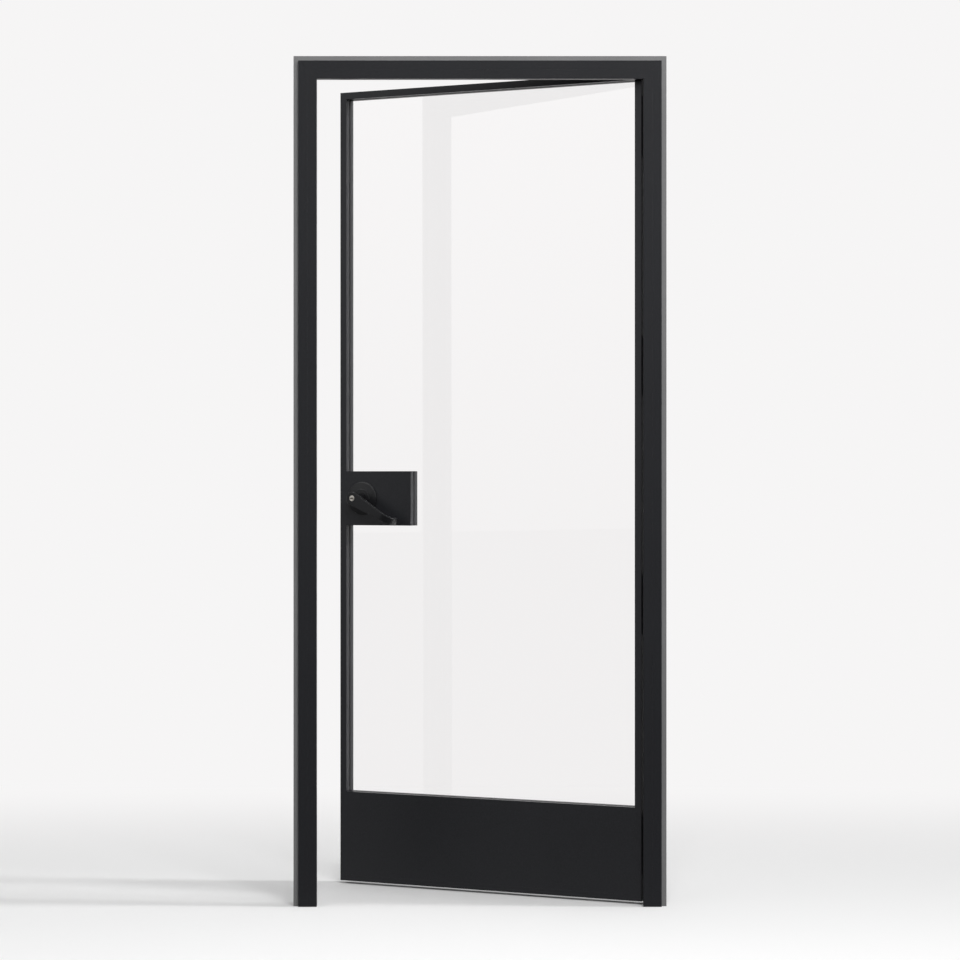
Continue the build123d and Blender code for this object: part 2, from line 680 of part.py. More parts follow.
def bottom_rail():
    """Tall bottom rail, with two inner webs and the glazing pocket along its top."""
    outer = slab(LEAF_NEAR, CAP_TOP, LEAF_FAR, RAIL_TOP)
    inside = slab(LEAF_NEAR + FACE_WALL, CAP_TOP + FACE_WALL, LEAF_FAR - FACE_WALL, RAIL_TOP - FACE_WALL)
    half = POCKET_WIDTH / 2
    floor = RAIL_TOP - POCKET_DEPTH
    shell_half = half + POCKET_WALL
    shell = slab(LEAF_MID - shell_half, floor - POCKET_WALL, LEAF_MID + shell_half, RAIL_TOP)
    section = outer - (inside - shell) - slab(LEAF_MID - half, floor, LEAF_MID + half, RAIL_TOP)
    for web in range(1, RAIL_WEBS + 1):
        middle = CAP_TOP + (RAIL_TOP - CAP_TOP) * web / (RAIL_WEBS + 1)
        section += slab(LEAF_NEAR, middle - FACE_WALL / 2, LEAF_FAR, middle + FACE_WALL / 2)
    return extrude(level_plane() * section, amount=2 * STILE_INNER)


def bottom_cap():
    """Channel that closes the rail's underside, open downwards."""
    outer = slab(LEAF_NEAR, LEAF_BOTTOM, LEAF_FAR, CAP_TOP)
    hollow = slab(LEAF_NEAR + FACE_WALL, LEAF_BOTTOM, LEAF_FAR - FACE_WALL, CAP_TOP - FACE_WALL)
    return extrude(level_plane() * (outer - hollow), amount=2 * STILE_INNER)


def leaf_corner_key(near):
    """Small right-angled key in one side chamber of the left stile and the top rail."""
    low = EDGE_WALL + KEY_CLEARANCE
    high = STILE_FACE - FACE_WALL - KEY_CLEARANCE
    chamber = (LEAF_THICKNESS - POCKET_WIDTH) / 2 - POCKET_WALL - FACE_WALL
    depth = chamber - 2 * KEY_CLEARANCE
    leg = high + LEAF_KEY_LEG
    y0 = near + KEY_CLEARANCE
    upright = brick(low, y0, -leg, high, y0 + depth, -low)
    level = brick(low, y0, -high, leg, y0 + depth, -low)
    return Pos(-LEAF_HALF, 0, LEAF_TOP) * (upright + level)


def leaf_corner_keys():
    """The four keys of the leaf's top corners."""
    first = leaf_corner_key(LEAF_NEAR + FACE_WALL)
    pair = [first, far_face(first)]
    return group(pair + [other_side(key) for key in pair])


def tie_rod_heights():
    """Heights of the two rods that draw the stiles onto the bottom rail, clear of the hinge screws."""
    return [CAP_TOP + TIE_ROD_INSET, HINGE_BOTTOM_Z]


def tie_rod(height):
    """Rod through the bottom rail, with a thin nut behind each stile's pocket."""
    seat = STILE_INNER + POCKET_DEPTH + POCKET_WALL
    half = seat + TIE_NUT_HEIGHT
    shaft = rod((-half, LEAF_MID, height), (1, 0, 0), TIE_ROD_RADIUS, 2 * half)
    nut_plane = Plane(origin=(seat, LEAF_MID, height), z_dir=(1, 0, 0))
    nut = extrude(nut_plane * RegularPolygon(TIE_NUT_FLATS / 2, 6, major_radius=False), amount=TIE_NUT_HEIGHT)
    return shaft + nut + other_side(nut)


# Glass


def glass_outline(reach, radius):
    """Outline of the glazed area with the notch for the lock box, reaching past the sight lines."""
    sheet = slab(-STILE_INNER - reach, RAIL_TOP - reach, STILE_INNER + reach, GLASS_TOP_EDGE + reach)
    notch_left = -STILE_INNER - reach - 2 * NOTCH_RADIUS
    notch_right = BOX_RIGHT - reach
    middle = (notch_left + notch_right) / 2
    height = BOX_TOP - BOX_BOTTOM - 2 * reach
    notch = Pos(middle, LOCK_HEIGHT) * RectangleRounded(notch_right - notch_left, height, radius)
    return sheet - notch


def upright_sheet(outline, y0, thickness):
    """Flat outline in X and Z given a thickness from a depth."""
    plane = Plane(origin=(0, y0, 0), x_dir=(1, 0, 0), z_dir=(0, -1, 0))
    return Pos(0, thickness, 0) * extrude(plane * outline, amount=thickness)


def glass_pane():
    """Toughened pane, notched round the lock box."""
    outline = glass_outline(GLASS_BITE, NOTCH_RADIUS)
    return upright_sheet(outline, LEAF_MID - GLASS_THICKNESS / 2, GLASS_THICKNESS)


def glazing_gasket():
    """Gasket frame between the pane and the near side of every pocket."""
    ring = glass_outline(GASKET_DEPTH, NOTCH_RADIUS) - glass_outline(GASKET_RECESS, NOTCH_RADIUS)
    thickness = (POCKET_WIDTH - GLASS_THICKNESS) / 2 - 2 * GASKET_CLEARANCE
    return upright_sheet(ring, LEAF_MID - POCKET_WIDTH / 2 + GASKET_CLEARANCE, thickness)


def setting_block(x):
    """Block that carries the pane's lower edge."""
    floor = RAIL_TOP - POCKET_DEPTH
    half = POCKET_WIDTH / 2 - GASKET_CLEARANCE
    x0 = x - SETTING_BLOCK_LENGTH / 2
    x1 = x + SETTING_BLOCK_LENGTH / 2
    return brick(x0, LEAF_MID - half, floor, x1, LEAF_MID + half, RAIL_TOP - GLASS_BITE)


# Lock


def lock_box():
    """Hollow box let into the glass beside the free stile, with glazing pockets on three sides."""
    outer = brick(BOX_LEFT, LEAF_NEAR, BOX_BOTTOM, BOX_RIGHT, LEAF_FAR, BOX_TOP)
    inside = brick(
        BOX_LEFT, LEAF_NEAR + LOCK_BOX_WALL, BOX_BOTTOM + LOCK_BOX_WALL,
        BOX_RIGHT - LOCK_BOX_WALL, LEAF_FAR - LOCK_BOX_WALL, BOX_TOP - LOCK_BOX_WALL,
    )
    half = POCKET_WIDTH / 2
    core_gap = POCKET_DEPTH + POCKET_WALL
    shell_half = half + POCKET_WALL
    core = brick(
        BOX_LEFT, LEAF_MID - shell_half, BOX_BOTTOM + core_gap,
        BOX_RIGHT - core_gap, LEAF_MID + shell_half, BOX_TOP - core_gap,
    )
    band = brick(BOX_LEFT, LEAF_MID - shell_half, BOX_BOTTOM, BOX_RIGHT, LEAF_MID + shell_half, BOX_TOP)
    band -= core
    slot = brick(BOX_LEFT, LEAF_MID - half, BOX_BOTTOM, BOX_RIGHT, LEAF_MID + half, BOX_TOP) - brick(
        BOX_LEFT, LEAF_MID - half, BOX_BOTTOM + POCKET_DEPTH,
        BOX_RIGHT - POCKET_DEPTH, LEAF_MID + half, BOX_TOP - POCKET_DEPTH,
    )
    start = (LOCK_X, LEAF_NEAR - OVERRUN, LOCK_HEIGHT)
    bore = rod(start, (0, 1, 0), LOCK_BORE_RADIUS, LEAF_THICKNESS + 2 * OVERRUN)
    return outer - (inside - band) - slot - bore


def lock_chassis():
    """Round lock body in the box's bore, with a mouth for the latch and a bore for the spindle."""
    radius = LOCK_BORE_RADIUS - CHASSIS_CLEARANCE
    body = rod((LOCK_X, LEAF_NEAR, LOCK_HEIGHT), (0, 1, 0), radius, LEAF_THICKNESS)
    inside = (LOCK_X, LEAF_NEAR + CHASSIS_PLATE, LOCK_HEIGHT)
    hollow = rod(inside, (0, 1, 0), radius - CHASSIS_WALL, LEAF_THICKNESS - 2 * CHASSIS_PLATE)
    start = (LOCK_X, LEAF_NEAR - OVERRUN, LOCK_HEIGHT)
    bore = rod(start, (0, 1, 0), SPINDLE_RADIUS + TURNING_CLEARANCE, LEAF_THICKNESS + 2 * OVERRUN)
    mouth = rod((LOCK_X, LEAF_MID, LOCK_HEIGHT), (-1, 0, 0), LATCH_CASE_RADIUS + LATCH_CLEARANCE, BACKSET)
    body = body - hollow - bore - mouth
    for side in (-1, 1):
        body -= through_bolt(side, SCREW_CLEARANCE)
    return body


def through_bolt(side, clearance):
    """Bolt that draws the two roses together, above or below the spindle."""
    start = (LOCK_X, LEAF_NEAR, LOCK_HEIGHT + side * THROUGH_BOLT_CIRCLE)
    return rod(start, (0, 1, 0), THROUGH_BOLT_RADIUS + clearance, LEAF_THICKNESS)


def faceplate_outline(clearance):
    """Latch faceplate, flush in the free stile's edge, grown by a clearance in its own plane."""
    plane = Plane(origin=(-LEAF_HALF, LEAF_MID, LOCK_HEIGHT), x_dir=(0, 1, 0), z_dir=(1, 0, 0))
    width = FACEPLATE_WIDTH + 2 * clearance
    height = FACEPLATE_HEIGHT + 2 * clearance
    outline = RectangleRounded(width, height, FACEPLATE_CORNER + clearance)
    return extrude(plane * outline, amount=FACEPLATE_THICKNESS)


def faceplate_screw_heights():
    """Heights of the faceplate's two screws."""
    offset = FACEPLATE_HEIGHT / 2 - 2 * SMALL_SCREW_HEAD
    return [LOCK_HEIGHT - offset, LOCK_HEIGHT + offset]


def faceplate_screw(height, clearance):
    """Screw through the faceplate into the stile's edge."""
    radius = SMALL_SCREW_RADIUS + clearance
    head = SMALL_SCREW_HEAD + clearance
    return screw((-LEAF_HALF, LEAF_MID, height), (1, 0, 0), head, radius, SMALL_SCREW_LENGTH / 2)


def latch_passage(clearance, x0, x1):
    """Rectangular passage for the latch bolt between two depths from the leaf's edge."""
    half_y = LATCH_WIDTH / 2 + clearance
    half_z = LATCH_HEIGHT / 2 + clearance
    return brick(
        x0 - LEAF_HALF, LEAF_MID - half_y, LOCK_HEIGHT - half_z,
        x1 - LEAF_HALF, LEAF_MID + half_y, LOCK_HEIGHT + half_z,
    )


def latch_faceplate():
    """Plate at the leaf's edge that the latch passes through."""
    plate = faceplate_outline(0) - latch_passage(LATCH_CLEARANCE, -OVERRUN, FACEPLATE_THICKNESS + OVERRUN)
    for height in faceplate_screw_heights():
        plate -= faceplate_screw(height, SCREW_CLEARANCE)
    return plate


def latch_case():
    """Round case that guides the latch, from the faceplate to the chassis."""
    start = (-LEAF_HALF + FACEPLATE_THICKNESS, LEAF_MID, LOCK_HEIGHT)
    case = rod(start, (1, 0, 0), LATCH_CASE_RADIUS, LATCH_CASE_LENGTH)
    return case - latch_passage(LATCH_CLEARANCE, 0, BACKSET)


def latch_bolt():
    """Latch with its slope to the closing side and a narrower tail towards the spindle."""
    near = LEAF_MID - LATCH_WIDTH / 2
    far = LEAF_MID + LATCH_WIDTH / 2
    edge = -LEAF_HALF
    tip = edge - LATCH_THROW
    slope = Polyline(
        (edge + LATCH_BODY_LENGTH, near), (edge - LATCH_SHOULDER, near), (tip, far - LATCH_NOSE), (tip, far),
        (edge + LATCH_BODY_LENGTH, far), close=True,
    )
    head = extrude(Pos(0, 0, LOCK_HEIGHT - LATCH_HEIGHT / 2) * make_face(slope), amount=LATCH_HEIGHT)
    tail_start = edge + LATCH_BODY_LENGTH
    tail = brick(
        tail_start, LEAF_MID - LATCH_TAIL_WIDTH / 2, LOCK_HEIGHT - LATCH_TAIL_HEIGHT / 2,
        tail_start + LATCH_TAIL_LENGTH, LEAF_MID + LATCH_TAIL_WIDTH / 2, LOCK_HEIGHT + LATCH_TAIL_HEIGHT / 2,
    )
    return head + tail


# Roses and levers, drawn about the lock's axis with Z out of the leaf's near face


def lock_place():
    """Plane at the spindle on the near face, with X along the fallen lever and Z towards the viewer."""
    drop = math.radians(LEVER_DROP_ANGLE)
    return Plane(
        origin=(LOCK_X, LEAF_NEAR, LOCK_HEIGHT), x_dir=(math.cos(drop), 0, -math.sin(drop)), z_dir=(0, -1, 0)
    )


def rose():
    """Pressed rose, a bevelled disc with a raised hub, hollow behind."""
    shoulder = ROSE_EDGE + ROSE_BEVEL
    crown = shoulder + ROSE_CROWN
    bore = LEVER_NECK_RADIUS + TURNING_CLEARANCE
    outside = Polyline(
        (bore, 0), (ROSE_RADIUS, 0), (ROSE_RADIUS, ROSE_EDGE), (ROSE_RADIUS - ROSE_BEVEL, shoulder),
        (HUB_RADIUS + HUB_DRAFT, crown), (HUB_RADIUS, HUB_HEIGHT), (bore, HUB_HEIGHT), close=True,
    )
    rim = ROSE_RADIUS - ROSE_WALL
    inside = Polyline(
        (bore + ROSE_WALL, 0), (rim, 0), (rim, ROSE_EDGE - ROSE_WALL / 2),
        (HUB_RADIUS - ROSE_WALL, crown - ROSE_WALL), (HUB_RADIUS - ROSE_WALL, HUB_HEIGHT - ROSE_WALL),
        (bore + ROSE_WALL, HUB_HEIGHT - ROSE_WALL), close=True,
    )
    shell = revolve(Plane.XZ * make_face(outside), Axis.Z) - revolve(Plane.XZ * make_face(inside), Axis.Z)
    return lock_place().location * shell


def lever_blank():
    """Lever in its own axes: a round head, a tapering arm that turns back to the door, and a neck."""
    half_tip = LEVER_TIP_WIDTH / 2
    arm = Polyline(
        (0, -LEVER_HEAD_RADIUS), (LEVER_TAPER_END, -half_tip), (LEVER_REACH, -half_tip),
        (LEVER_REACH, half_tip), (LEVER_TAPER_END, half_tip), (0, LEVER_HEAD_RADIUS), close=True,
    )
    plan = extrude(make_face(arm) + Circle(LEVER_HEAD_RADIUS), amount=LEVER_PROJECTION)
    side = extrude(Plane.XZ * lever_side(), amount=LEVER_HEAD_RADIUS, both=True)
    blade = plan & side
    front = blade.faces().filter_by(Plane.XY).sort_by(Axis.Z)[-1]
    rim = [edge for edge in front.edges() if edge.center().X < BEND_START - LEVER_EDGE]
    blade = chamfer(rim, LEVER_EDGE)
    start = HUB_HEIGHT - 2 * ROSE_WALL
    throat = Polyline(
        (0, start), (LEVER_NECK_RADIUS, start), (LEVER_NECK_RADIUS, LEVER_BACK - LEVER_THROAT),
        (LEVER_HEAD_RADIUS - LEVER_EDGE, LEVER_BACK), (0, LEVER_BACK), close=True,
    )
    return blade + revolve(Plane.XZ * make_face(throat), Axis.Z)


def lever_side():
    """Side view of the arm and its return, as one face in reach and height above the leaf."""
    inner_radius = LEVER_BEND_RADIUS - LEVER_THICKNESS
    centre_height = LEVER_PROJECTION - LEVER_BEND_RADIUS
    inner_reach = LEVER_REACH - LEVER_THICKNESS
    half_turn = math.sqrt(0.5)
    outer_mid = (BEND_START + LEVER_BEND_RADIUS * half_turn, centre_height + LEVER_BEND_RADIUS * half_turn)
    inner_mid = (BEND_START + inner_radius * half_turn, centre_height + inner_radius * half_turn)
    edges = [
        Line((-LEVER_HEAD_RADIUS, LEVER_PROJECTION), (BEND_START, LEVER_PROJECTION)),
        ThreePointArc((BEND_START, LEVER_PROJECTION), outer_mid, (LEVER_REACH, centre_height)),
        Line((LEVER_REACH, centre_height), (LEVER_REACH, LEVER_TIP_CLEARANCE)),
        Line((LEVER_REACH, LEVER_TIP_CLEARANCE), (inner_reach, LEVER_TIP_CLEARANCE)),
        Line((inner_reach, LEVER_TIP_CLEARANCE), (inner_reach, centre_height)),
        ThreePointArc((inner_reach, centre_height), inner_mid, (BEND_START, LEVER_BACK)),
        Line((BEND_START, LEVER_BACK), (-LEVER_HEAD_RADIUS, LEVER_BACK)),
        Line((-LEVER_HEAD_RADIUS, LEVER_BACK), (-LEVER_HEAD_RADIUS, LEVER_PROJECTION)),
    ]
    return make_face(Curve() + edges)


def spindle_socket():
    """Bore in the lever's neck for the spindle."""
    depth = LEVER_PROJECTION - CYLINDER_LENGTH - LEVER_EDGE
    return rod((0, 0, 0), (0, 0, 1), SPINDLE_RADIUS + FIT_CLEARANCE, depth)


def lever_outside():
    """Lever on the viewer's side, bored for the key cylinder."""
    base = LEVER_PROJECTION - CYLINDER_LENGTH
    bore = rod((0, 0, base), (0, 0, 1), CYLINDER_RADIUS + FIT_CLEARANCE, CYLINDER_LENGTH + OVERRUN)
    return lock_place().location * (lever_blank() - spindle_socket() - bore)


def lever_inside():
    """Lever on the far side, bored for the turn button."""
    base = LEVER_PROJECTION - CYLINDER_LENGTH
    stem = rod((0, 0, base), (0, 0, 1), TURN_STEM_RADIUS + TURNING_CLEARANCE, CYLINDER_LENGTH)
    seat = LEVER_PROJECTION - TURN_DISC_THICKNESS
    recess_radius = TURN_DISC_RADIUS + TURNING_CLEARANCE
    recess = rod((0, 0, seat), (0, 0, 1), recess_radius, TURN_DISC_THICKNESS + OVERRUN)
    return far_face(lock_place().location * (lever_blank() - spindle_socket() - stem - recess))


def spindle():
    """Tube through the chassis that joins the two levers."""
    reach = LEVER_PROJECTION - CYLINDER_LENGTH - 2 * LEVER_EDGE
    start = (LOCK_X, LEAF_NEAR - reach, LOCK_HEIGHT)
    length = LEAF_THICKNESS + 2 * reach
    tube = rod(start, (0, 1, 0), SPINDLE_RADIUS, length)
    return tube - rod(start, (0, 1, 0), SPINDLE_RADIUS - SPINDLE_WALL, length)


def key_cylinder():
    """Fixed sleeve of the key cylinder in the outside lever's head."""
    base = LEVER_PROJECTION - CYLINDER_LENGTH
    sleeve = rod((0, 0, base), (0, 0, 1), CYLINDER_RADIUS, CYLINDER_LENGTH)
    hollow = rod((0, 0, base + CYLINDER_FLOOR), (0, 0, 1), PLUG_RADIUS + FIT_CLEARANCE, CYLINDER_LENGTH)
    return lock_place().location * (sleeve - hollow)


def key_plug():
    """Plug that the key turns, with its level keyway."""
    base = LEVER_PROJECTION - CYLINDER_LENGTH + CYLINDER_FLOOR + FIT_CLEARANCE
    plug = rod((0, 0, base), (0, 0, 1), PLUG_RADIUS, LEVER_PROJECTION - base)
    blade = Rectangle(KEYWAY_LENGTH, KEYWAY_WIDTH)
    bulge = Pos(KEYWAY_LENGTH / 2 - KEYWAY_BULGE / 2, 0) * Rectangle(KEYWAY_BULGE, KEYWAY_BULGE)
    keyway = extrude(Rot(0, 0, LEVER_DROP_ANGLE) * (blade + bulge), amount=KEYWAY_DEPTH)
    return lock_place().location * (plug - Pos(0, 0, LEVER_PROJECTION - KEYWAY_DEPTH) * keyway)


def thumb_turn():
    """Turn button in the inside lever's head: a stem, a disc and an upright grip."""
    base = LEVER_PROJECTION - CYLINDER_LENGTH + OVERRUN
    stem = rod((0, 0, base), (0, 0, 1), TURN_STEM_RADIUS, LEVER_PROJECTION - base)
    disc_base = LEVER_PROJECTION - TURN_DISC_THICKNESS + FIT_CLEARANCE
    disc = rod((0, 0, disc_base), (0, 0, 1), TURN_DISC_RADIUS, TURN_DISC_THICKNESS)
    bar = SlotOverall(TURN_GRIP_LENGTH, TURN_GRIP_WIDTH, rotation=90)
    grip = extrude(Pos(0, 0, disc_base) * Rot(0, 0, LEVER_DROP_ANGLE) * bar, amount=TURN_GRIP_HEIGHT)
    return far_face(lock_place().location * (stem + disc + grip))


def frame_pieces():
    """Every piece that stays with the wall, by name."""
    pieces = {
        "strike_jamb": strike_jamb(),
        "hinge_jamb": hinge_jamb(),
        "head_jamb": head_jamb(),
        "strike_side_stop": side_stop(),
        "hinge_side_stop": other_side(side_stop()),
        "head_stop": head_stop(),
        "strike_side_channel": side_channel(),
        "hinge_side_channel": other_side(side_channel()),
        "head_channel": head_channel(),
        "frame_corner_keys": group([frame_corner_key(), other_side(frame_corner_key())]),
        "strike_side_seal": side_seal(),
        "hinge_side_seal": other_side(side_seal()),
        "head_seal": head_seal(),
        "strike_plate": strike_plate(),
        "strike_box": strike_box(),
        "strike_screws": group([strike_screw(height, 0) for height in strike_screw_heights()]),
        "frame_backing_plates": group([frame_backing_plate(height) for height in hinge_heights()]),
    }
    screws = [frame_screw(place, 0) for height in hinge_heights() for place in hinge_screw_places(height)]
    pieces["frame_hinge_screws"] = group(screws)
    for number, height in enumerate(hinge_heights(), start=1):
        pieces[f"hinge_{number}_frame_half"] = hinge_frame_half(height)
        pieces[f"hinge_{number}_pin"] = hinge_pin(height)
    return pieces


def leaf_pieces():
    """Every piece that swings with the leaf, drawn closed, by name."""
    block_places = (-STILE_INNER / 2, STILE_INNER / 2)
    pieces = {
        "lock_stile": lock_stile(),
        "hinge_stile": hinge_stile(),
        "top_rail": top_rail(),
        "bottom_rail": bottom_rail(),
        "bottom_cap": bottom_cap(),
        "leaf_corner_keys": leaf_corner_keys(),
        "tie_rods": group([tie_rod(height) for height in tie_rod_heights()]),
        "glass_pane": glass_pane(),
        "glazing_gasket_near": glazing_gasket(),
        "glazing_gasket_far": far_face(glazing_gasket()),
        "setting_blocks": group([setting_block(x) for x in block_places]),
        "lock_box": lock_box(),
        "lock_chassis": lock_chassis(),
        "through_bolts": group([through_bolt(side, 0) for side in (-1, 1)]),
        "latch_case": latch_case(),
        "latch_faceplate": latch_faceplate(),
        "latch_screws": group([faceplate_screw(height, 0) for height in faceplate_screw_heights()]),
        "latch_bolt": latch_bolt(),
        "rose_outside": rose(),
        "rose_inside": far_face(rose()),
        "spindle": spindle(),
        "lever_outside": lever_outside(),
        "lever_inside": lever_inside(),
        "key_cylinder": key_cylinder(),
        "key_plug": key_plug(),
        "thumb_turn": thumb_turn(),
    }
    plates = [plate for height in hinge_heights() for plate in leaf_backing_plates(height)]
    pieces["leaf_backing_plates"] = group(plates)
    screws = [leaf_screw(place, 0) for height in hinge_heights() for place in hinge_screw_places(height)]
    pieces["leaf_hinge_screws"] = group(screws)
    for number, height in enumerate(hinge_heights(), start=1):
        pieces[f"hinge_{number}_leaf_half"] = hinge_leaf_half(height)
    return pieces


os.makedirs("parts", exist_ok=True)
for name, piece in frame_pieces().items():
    export_step(piece, f"parts/{name}.step")
for name, piece in leaf_pieces().items():
    export_step(pose_leaf(piece), f"parts/{name}.step")
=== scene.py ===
"""A framed glass swing door that stands open in its frame, finished for a plain studio.

The frame, the leaf and the lock come from the fixed model. This script gives every piece its finish and
makes the turned, bent and moulded pieces that a closer look needs. A piece is drawn in millimetres on the
bench, and places, finishes and the studio are in metres.
"""

import json
import logging
import math
from collections.abc import Callable, Sequence
from dataclasses import dataclass, field
from enum import Enum

import bmesh
import bpy
from mathutils import Matrix, Vector

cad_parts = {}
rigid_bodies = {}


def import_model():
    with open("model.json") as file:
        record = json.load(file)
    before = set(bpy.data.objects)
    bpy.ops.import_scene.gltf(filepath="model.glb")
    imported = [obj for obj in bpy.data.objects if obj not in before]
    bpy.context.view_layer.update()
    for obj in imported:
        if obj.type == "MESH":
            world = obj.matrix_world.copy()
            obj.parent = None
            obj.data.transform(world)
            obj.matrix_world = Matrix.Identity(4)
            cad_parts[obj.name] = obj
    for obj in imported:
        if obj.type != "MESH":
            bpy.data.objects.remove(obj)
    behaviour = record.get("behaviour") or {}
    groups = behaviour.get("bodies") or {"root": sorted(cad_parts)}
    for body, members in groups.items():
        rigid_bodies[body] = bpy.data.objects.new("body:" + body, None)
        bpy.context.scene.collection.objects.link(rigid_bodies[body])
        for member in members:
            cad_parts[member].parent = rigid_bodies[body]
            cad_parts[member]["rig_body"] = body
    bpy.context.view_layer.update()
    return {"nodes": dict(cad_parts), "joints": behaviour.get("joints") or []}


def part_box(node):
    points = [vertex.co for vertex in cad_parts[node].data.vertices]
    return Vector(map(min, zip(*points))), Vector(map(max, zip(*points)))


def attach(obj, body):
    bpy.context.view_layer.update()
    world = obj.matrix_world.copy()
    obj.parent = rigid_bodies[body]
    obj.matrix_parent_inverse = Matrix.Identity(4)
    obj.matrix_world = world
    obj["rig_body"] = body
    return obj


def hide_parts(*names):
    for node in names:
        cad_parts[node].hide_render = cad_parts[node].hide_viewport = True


LOG = logging.getLogger("door")
MM = 0.001
NEAR = 0.002  # on the bench, points closer than this are one
CLEAR = 0.02  # on the bench, how far a cutter's rim keeps from a face
FILLET_STEPS = 4
BEVEL_STEPS = 3
SMOOTH_ANGLE = math.radians(30)
NOISE_MIDDLE = (0.3, 0.7)
BEVEL_SAMPLES = 4
BACKDROP = (0.922, 0.914, 0.914)

Pair = tuple[float, float]
Triple = tuple[float, float, float]
Colour = Triple
Picker = Callable[[Vector, Vector], bool]
Nodes = dict[str, bpy.types.Object]
Socket = bpy.types.NodeSocket
Source = Socket | float | Sequence[float]
Outputs = bpy.types.bpy_prop_collection
Material = bpy.types.Material


class LeafFace(Enum):
    """The two faces of the leaf that carry a rose and a lever."""

    OUTSIDE = "outside"
    INSIDE = "inside"


class Join(Enum):
    """How one solid is combined with another."""

    ADD = "UNION"
    CUT = "DIFFERENCE"


# Bench: pieces are drawn in millimetres about their own axes, then put in place


def filleted(corners: Sequence[Triple]) -> list[Pair]:
    """Rounds the corners of a turned profile.

    Args:
        corners: radius, height and fillet of each corner; both ends have no fillet.

    Returns:
        Radius and height of each ring.
    """
    profile = []
    for index, (radius, height, fillet) in enumerate(corners):
        corner = Vector((radius, height))
        if fillet == 0:
            profile.append((radius, height))
            continue
        back = (Vector(corners[index - 1][:2]) - corner).normalized()
        onward = (Vector(corners[index + 1][:2]) - corner).normalized()
        half = back.angle(onward) / 2
        centre = corner + (back + onward).normalized() * (fillet / math.sin(half))
        start = corner + back * (fillet / math.tan(half)) - centre
        end = corner + onward * (fillet / math.tan(half)) - centre
        for step in range(FILLET_STEPS + 1):
            spot = centre + start.lerp(end, step / FILLET_STEPS).normalized() * fillet
            profile.append((spot.x, spot.y))
    return profile


def box_of(spots: Sequence[Vector]) -> tuple[Vector, Vector]:
    """Finds the box round some points.

    Args:
        spots: the points.

    Returns:
        Its lowest and its highest corner.
    """
    low, high = (Vector(end(spot[axis] for spot in spots) for axis in range(3)) for end in (min, max))
    return low, high


def loose_boxes(node: bpy.types.Object, back: Matrix) -> list[tuple[Vector, Vector]]:
    """Finds the box of each separate solid in a node.

    Args:
        node: the node.
        back: the move to the axes that the boxes are wanted in.

    Returns:
        Lowest and highest corner of each solid.
    """
    mesh = bmesh.new()
    mesh.from_mesh(node.data)
    bmesh.ops.remove_doubles(mesh, verts=mesh.verts, dist=NEAR * MM)
    waiting = set(mesh.verts)
    boxes = []
    while waiting:
        front = [waiting.pop()]
        corners = []
        while front:
            vertex = front.pop()
            corners.append(back @ vertex.co)
            nearby = [edge.other_vert(vertex) for edge in vertex.link_edges]
            fresh = [other for other in nearby if other in waiting]
            waiting.difference_update(fresh)
            front.extend(fresh)
        boxes.append(box_of(corners))
    mesh.free()
    return sorted(boxes, key=lambda box: (round(box[0].z, 4), round(box[0].y, 4)))


